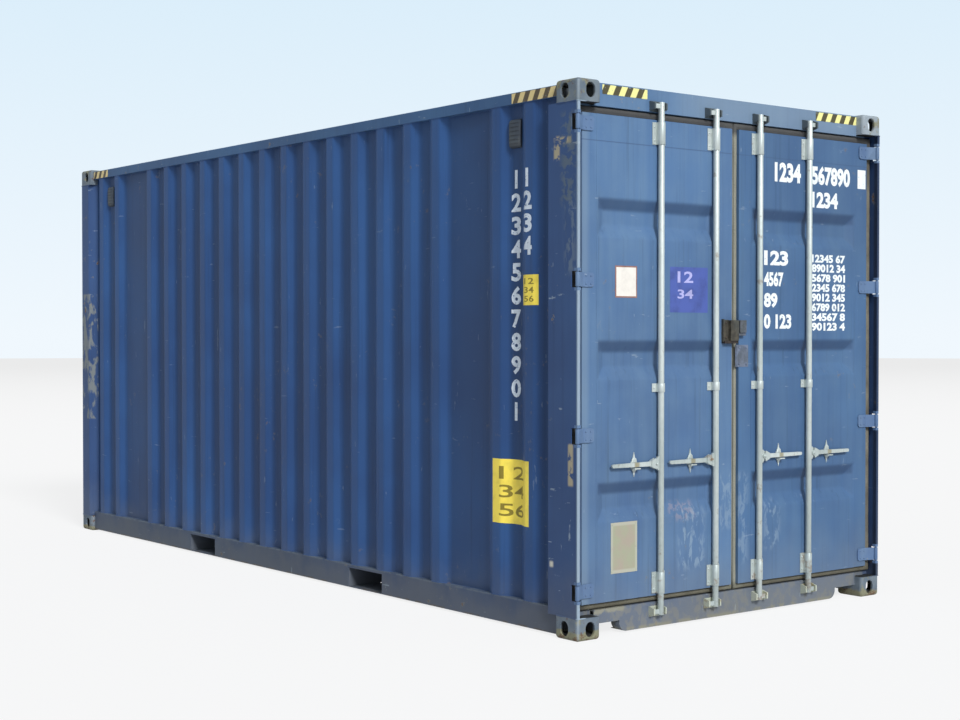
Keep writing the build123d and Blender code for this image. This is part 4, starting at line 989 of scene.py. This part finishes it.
doorStations = {"left": np.arange(-1.2, 0.0, 0.06), "right": np.arange(0.0, 1.2, 0.06)}
onFilm, onSecond, onPaint = 0.0005, 0.0009, 0.0002
walls = {
    "left": (lambda u, v, lift: onWall("left", u, v, lift), wallStations),
    "right": (lambda u, v, lift: onWall("right", -u, v, lift), -wallStations[::-1]),
}
stacked = {"tops": 2.47, "pitch": (0.1257, 0.1215), "high": 0.1, "wide": 0.076, "columns": (2.42, 2.552)}
stacked.update({"texts": ("12345678901", "1234"), "narrow": 0.024, "bold": 0.035})
labels = {"spans": ((2.54, 2.668, 1.737, 1.9), (2.295, 2.604, 0.551, 0.902)), "texts": ("12", "34", "56")}
labels.update({"left": 0.18, "wide": 0.62, "first": 0.31, "pitch": 0.29, "high": 0.2, "bold": 0.01})
for side, (surface, stations) in walls.items():
    # The far side's columns stand at its door end too, which is on the left of that side
    onSide = lambda u, v: surface(u, v, onFilm)
    onLabel = lambda u, v: surface(u, v, onSecond)
    starts = stacked["columns"] if side == "left" else [-s - stacked["wide"] for s in stacked["columns"]]
    rows = []
    for start, text, pitch in zip(starts, stacked["texts"], stacked["pitch"]):
        for k, digit in enumerate(text):
            shift, wide = (stacked["narrow"], None) if digit == "1" else (0.0, stacked["wide"])
            foot = stacked["tops"] - stacked["high"] - pitch * k
            rows.append((digit, start + shift, foot, wide, stacked["high"]))
    layDigits(f"side_digits_{side}", rows, onSide, stations, sideWhite, "frame", stacked["bold"])
    for k, (low, high, bottom, top) in enumerate(labels["spans"]):
        left, right = (low, high) if side == "left" else (-high, -low)
        label, spans = f"{side}_{k + 1}", (left, right, bottom, top)
        layPatch("side_label_" + label, onSide, spans, stations, yellowFilm, "frame")
        wide, high, rows = right - left, top - bottom, []
        for n, text in enumerate(labels["texts"]):
            foot = top - high * (labels["first"] + labels["pitch"] * n)
            start = left + wide * labels["left"]
            rows.append((text, start, foot, wide * labels["wide"], high * labels["high"]))
        layDigits("side_label_digits_" + label, rows, onLabel, stations, darkFilm, "frame", labels["bold"])

# Door markings: large rows, four rows below them and a block of small rows beside these
onLeft = lambda u, v: onDoor("left", u, v, onFilm)
onRight = lambda u, v: onDoor("right", u, v, onFilm)
rows = [("1234", 0.324, 2.455, 0.225, 0.113), ("567890", 0.645, 2.455, 0.346, 0.113)]
rows.append(("1234", 0.646, 2.322, 0.235, 0.094))
for k, (text, width) in enumerate((("123", 0.205), ("4567", 0.165), ("89", 0.115), ("0 123", 0.235))):
    rows.append((text, 0.236, 1.975 - 0.121 * k, width, 0.085))
small = ("12345 67", "89012 34", "5678 901", "2345 678", "9012 345", "6789 012", "34567 8", "90123 4")
rows += [(text, 0.649, 2.001 - 0.0572 * k, 0.3, 0.049) for k, text in enumerate(small)]
layDigits("door_digits", rows, onRight, doorStations["right"], whitePaint, "door_right", 0.045)
layPatch("door_block", onRight, (1.062, 1.136, 2.455, 2.568), [], whitePaint, "door_right")

over = lambda u, v: onDoor("left", u, v, onSecond)
layPatch("door_film_blue", onLeft, (-0.512, -0.222, 1.7, 1.947), doorStations["left"], blueFilm, "door_left")
rows = [("12", -0.455, 1.862, 0.12, 0.062), ("34", -0.455, 1.775, 0.12, 0.05)]
layDigits("door_film_digits", rows, over, doorStations["left"], palePaint, "door_left", 0.022)
for name, surface, spans, material in (
    ("door_film_rim", onLeft, (-0.915, -0.757, 1.775, 1.943), claret),
    ("door_film_pale", over, (-0.907, -0.765, 1.783, 1.935), offWhite),
):
    layPatch(name, surface, spans, doorStations["left"], material, "door_left")

# Hazard stripes near the top corners
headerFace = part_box("header")[1].x + onPaint
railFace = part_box("top_side_rails")[1].y + onPaint
stripeThick = 0.0006
acrossBars = stripes("stripesAcross", "y", 0.5)
tan, brown = (0.7, 0.56, 0.26), (0.075, 0.05, 0.02)
alongBars = {
    "left": stripes("stripesLeft", "x", 0.5, tan, brown),
    "right": stripes("stripesRight", "x", -0.5, tan, brown),
}
onHeader = lambda u, v: np.stack([np.full_like(u, headerFace), u, v], -1)
headerRows, railRows = (2.834, 2.884), (2.822, 2.876)
for name, ends in (("left", (-1.001, -0.677)), ("right", (0.687, 1.056))):
    spans = (*ends, *headerRows)
    layPatch(f"stripes_header_{name}", onHeader, spans, [], acrossBars, "frame", stripeThick)
for side, sign in sideOf.items():
    onRail = lambda u, v: np.stack([-sign * u, np.full_like(u, sign * railFace), v], -1)
    for name, low, high in (("door", 2.462, 2.845), ("closed", -2.845, -2.588)):
        ends = (low, high) if side == "left" else (-high, -low)
        spans = (*ends, *railRows)
        layPatch(f"stripes_{side}_{name}", onRail, spans, [], alongBars[side], "frame", stripeThick)
print("markings ready")

# Bare plate on the left door, with its rivets
plate = {"spans": (-0.944, -0.755, 0.322, 0.59), "thick": 0.0015, "rivet": (0.004, 0.0025)}
plate.update({"rivetColumns": (-0.934, -0.765), "rivetRows": (0.332, 0.456, 0.58)})
onPlate = lambda u, v: np.stack([np.full_like(u, doorFace + onPaint), u, v], -1)
agedPlate = Finish("agedPlate")
rim = agedPlate.y.rise(-0.925, -0.935).most(agedPlate.y.rise(-0.775, -0.765))
rim = rim.most(agedPlate.z.rise(0.345, 0.335)).most(agedPlate.z.rise(0.568, 0.578))
tint = agedPlate.noise(11.0, 4.0, 0.6).rise(0.4, 0.65)
agedPlate.colour = agedPlate.mix(tint, (0.33, 0.34, 0.24), (0.36, 0.31, 0.25))
agedPlate.over(rim * 0.5, (0.47, 0.48, 0.41))
barePlate = agedPlate.close(0.62)
spans, thick = plate["spans"], plate["thick"]
layPatch("door_plate", onPlate, spans, [], barePlate, "door_left", thick, "galvanised_steel")
places = [(doorFace + thick + 0.0001, y, z) for y in plate["rivetColumns"] for z in plate["rivetRows"]]
fasten("door_plate_rivets", placed(rivet(*plate["rivet"]), "doors", places), barePlate, "door_left")


# Blocks: rings of four corners carried along x, closed by a point at both ends
def blocks(name, boxes, material, body, slotName, soft=0.0012):
    grids = []
    for (x0, x1), (y0, y1), (z0, z1) in boxes:
        ring = np.array([(y0, z0), (y1, z0), (y1, z1), (y0, z1)])
        middle = np.repeat(ring.mean(0)[None], 4, 0)
        stations = ((x0, middle), (x0, ring), (x1, ring), (x1, middle))
        grids.append(np.stack([np.concatenate([np.full((4, 1), x), r], 1) for x, r in stations]))
    piece = makePiece(name, grids, material, body, slotName, False, closedAcross=True)
    roundEdges(piece, soft)
    return piece


# Lock box: flange, a near-black bar of painted shade under its left half, a foot bar under its right half and
# the plate below it
boxFlange = [
    ((2.982, 2.996), (-0.107, -0.067), (1.544, 1.662)),
    ((2.982, 3.000), (-0.112, -0.104), (1.54, 1.666)),
]
shadeBarLeft = [((2.982, 3.01), (-0.11, -0.004), (1.53, 1.546))]
footRight = [((2.982, 3.008), (0.004, 0.06), (1.574, 1.592))]
lowerPlate = [
    ((2.9825, 2.986), (-0.002, 0.104), (1.398, 1.522)),
    ((2.982, 2.9885), (0.004, 0.011), (1.405, 1.516)),
]
blocks("lock_box_flange", boxFlange, boxDark, "door_left", "rusty_steel")
blocks("lock_box_shade_bar_left", shadeBarLeft, shadowBlack, "door_left", "rusty_steel")
blocks("lock_box_foot_right", footRight, boxPaint, "door_right", "rusty_steel")
blocks("lock_box_plate", lowerPlate, platePaint, "door_right", "blue_paint")
places = [(2.9858, y, z) for y in (0.03, 0.088) for z in (1.414, 1.506)]
heads = placed(hexHead(0.0065, 0.005), "doors", places)
fasten("lock_box_bolts", heads, platePaint, "door_right", smooth=False)
places = [(2.9958, -0.087, z) for z in (1.562, 1.644)]
heads = placed(rivet(0.006, 0.004), "doors", places)
fasten("lock_box_rivets", heads, darkSteel, "door_left", "rusty_steel")

# A raised boss widens the middle of each handle catch
catch = {"away": (0.359, 0.781), "up": 0.89, "face": 0.004, "stretch": np.array([1.0, 0.8, 1.5])}
catchBoss = turnedRound([(0.028, -0.0005), (0.028, 0.002), (0.022, 0.0045), (0.0003, 0.0045)], 8)
for side, sign in sideOf.items():
    across = sorted(sign * away for away in catch["away"])
    middles = np.array([(doorFace + catch["face"], y, catch["up"]) for y in across])
    bosses = placed(catchBoss, "doors", middles)
    heads = [m + (boss - m) * catch["stretch"] for m, boss in zip(middles, bosses)]
    fasten(f"catch_bosses_{side}", heads, zincBright, "door_" + side, smooth=False)

# Outer lips of the gaskets fill the slits at the hinge edges
lip = {"rows": 90, "foot": 0.18, "head": 2.726, "x": 2.9745, "y": 1.15}
lip.update({"deep": 0.0045, "wide": 0.0019, "wave": 0.0004, "waves": 31.0})
lipPaint = bluePaint("lipPaint", 0.5, 0.6, 0.4, 0.6, 0.4, tint=(0.85, 0.85, 0.85))
for side, sign in sideOf.items():
    z = np.linspace(lip["foot"], lip["head"], lip["rows"])[:, None]
    turn = np.linspace(0, 2 * np.pi, 9)[:-1][None, :]
    x = lip["x"] + lip["wave"] * np.sin(z * lip["waves"]) + lip["deep"] * np.cos(turn)
    y = sign * (lip["y"] + lip["wide"] * np.sin(turn)) + 0 * z
    grid = np.stack([x, y, z + 0 * turn], -1)
    ends = [np.repeat(row.mean(0)[None, None], grid.shape[1], 1) for row in (grid[0], grid[-1])]
    grid = np.concatenate([ends[0], grid, ends[1]])
    joins = {"closedAcross": True, "flip": sign > 0}
    makePiece(f"edge_lip_{side}", grid, lipPaint, "door_" + side, "gasket_rubber", **joins)


# Weld beads: a rippled half round carried along a path of points; out and up span its section
def bead(path, out, up, radius):
    steps = np.concatenate([[0.0], np.cumsum(np.linalg.norm(np.diff(path, axis=0), axis=1))])
    size = radius * (1 + 0.14 * np.sin(steps * 520.0) + 0.1 * np.sin(steps * 47.0))[:, None, None]
    turn = np.linspace(-0.3, np.pi / 2 + 0.3, 5)[None, :, None]
    return path[:, None] + size * (np.cos(turn) * np.array(out) + np.sin(turn) * np.array(up))


def straight(start, end):
    # Points from start to end, about one bead pitch apart
    start, end = np.array(start, dtype=float), np.array(end, dtype=float)
    count = int(np.linalg.norm(end - start) / beadPitch)
    return start + (end - start) * np.linspace(0, 1, count)[:, None]


beadRadius, beadPitch, uprightSteps = 0.0035, 0.012, 200
for side, sign in sideOf.items():
    xs = np.unique(np.concatenate([wallStations, np.arange(wallLow.x, wallHigh.x, beadPitch)]))
    foot, head = (onWall(side, xs, np.full_like(xs, z)) for z in (wallLow.z, wallHigh.z))
    outwards, upwards, downwards = (0, sign, 0), (0, 0, 1), (0, 0, -1)
    seams = [bead(foot, outwards, upwards, beadRadius), bead(head, downwards, outwards, beadRadius)]
    for x, turn in ((wallLow.x, 1), (wallHigh.x, -1)):
        heights = np.linspace(wallLow.z, wallHigh.z, uprightSteps)
        upright = onWall(side, np.full(uprightSteps, x), heights)
        seams.append(bead(upright, (turn, 0, 0), outwards, beadRadius))
    makePiece(f"wall_welds_{side}", seams, sidePaint, "frame", "blue_paint", flip=sign > 0)
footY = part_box("end_wall")[1].y
path = straight((endLow.x + 0.001, -footY, endLow.z), (endLow.x + 0.001, footY, endLow.z))
path[:, 0] = np.interp(path[:, 1], endYs, endFoot)
seams = [bead(path, (-1, 0, 0), (0, 0, 1), beadRadius)]
makePiece("end_welds", seams, sidePaint, "frame", "blue_paint")

# Posts are welded to the castings all round
postWeld = {"start": 2.86, "corner": 0.004, "run": 0.06, "proud": 0.0005, "lean": 0.7, "radius": 0.004}
corner, lean = postWeld["corner"], postWeld["lean"]
seams = []
for xSign in (-1, 1):
    for ySign in (-1, 1):
        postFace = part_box("door_posts")[1].x if xSign > 0 else -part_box("end_posts")[0].x
        outX = postFace + postWeld["proud"]
        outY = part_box("door_posts")[1].y + postWeld["proud"]
        for z, up in ((casting["high"], 1), (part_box("castings_top")[0].z, -1)):
            sidewards = straight((postWeld["start"], outY, z), (outX - corner, outY, z))
            endwards = straight((outX, outY - corner, z), (outX, outY - postWeld["run"], z))
            path = np.concatenate([sidewards, endwards]) * (xSign, ySign, 1)
            seam = bead(path, (lean * xSign, lean * ySign, 0.0), (0, 0, up), postWeld["radius"])
            seams.append(seam[:, ::xSign * ySign * up])
makePiece("post_welds", seams, postPaint, "frame", "blue_paint")

# Floor of plywood boards with countersunk screws over the cross members
boards = {"long": 2.43, "shift": 0.5, "gap": 0.002, "soft": 0.0015}
screws = {"rows": (0.03, 1.1, 9), "first": 0.06, "pitch": 0.262, "stray": 0.01, "radius": 0.0058}
floorLow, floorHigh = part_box("floor")
half, pieces = boards["gap"] / 2, []
for sign, first in ((-1, 1.0), (1, boards["shift"])):
    places = [floorLow.x, *(floorLow.x + boards["long"] * (first + k) for k in range(2)), floorHigh.x]
    ends = sorted((sign * half, sign * (floorHigh.y - half)))
    spans = [(low + half, high - half) for low, high in zip(places, places[1:])]
    pieces += [(span, ends, (floorLow.z, floorHigh.z)) for span in spans]
piece = blocks("floor_boards", pieces, plywood, "frame", "floor_wood", boards["soft"])
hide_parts("floor")
across = np.linspace(*screws["rows"])
places = [
    (x + screws["stray"] * np.sin(7 * x), y, floorHigh.z)
    for x in np.arange(floorLow.x + screws["first"], floorHigh.x, screws["pitch"])
    for y in np.concatenate([-across, across])
]
profile = [(screws["radius"], -0.0002), (screws["radius"], 0.0003), (0.0018, 0.0004), (0.0001, -0.0002)]
fasten("floor_screws", placed(turnedRound(profile, 8), "up", places), darkSteel, "frame", "rusty_steel")
print("lock box, welds and floor ready")

# Steel edges are rounded a little; the castings are round already
for name in nodes:
    if not nodes[name].hide_render and name != "floor":
        roundEdges(nodes[name], rounding["steel"])


print("steel edges rounded")
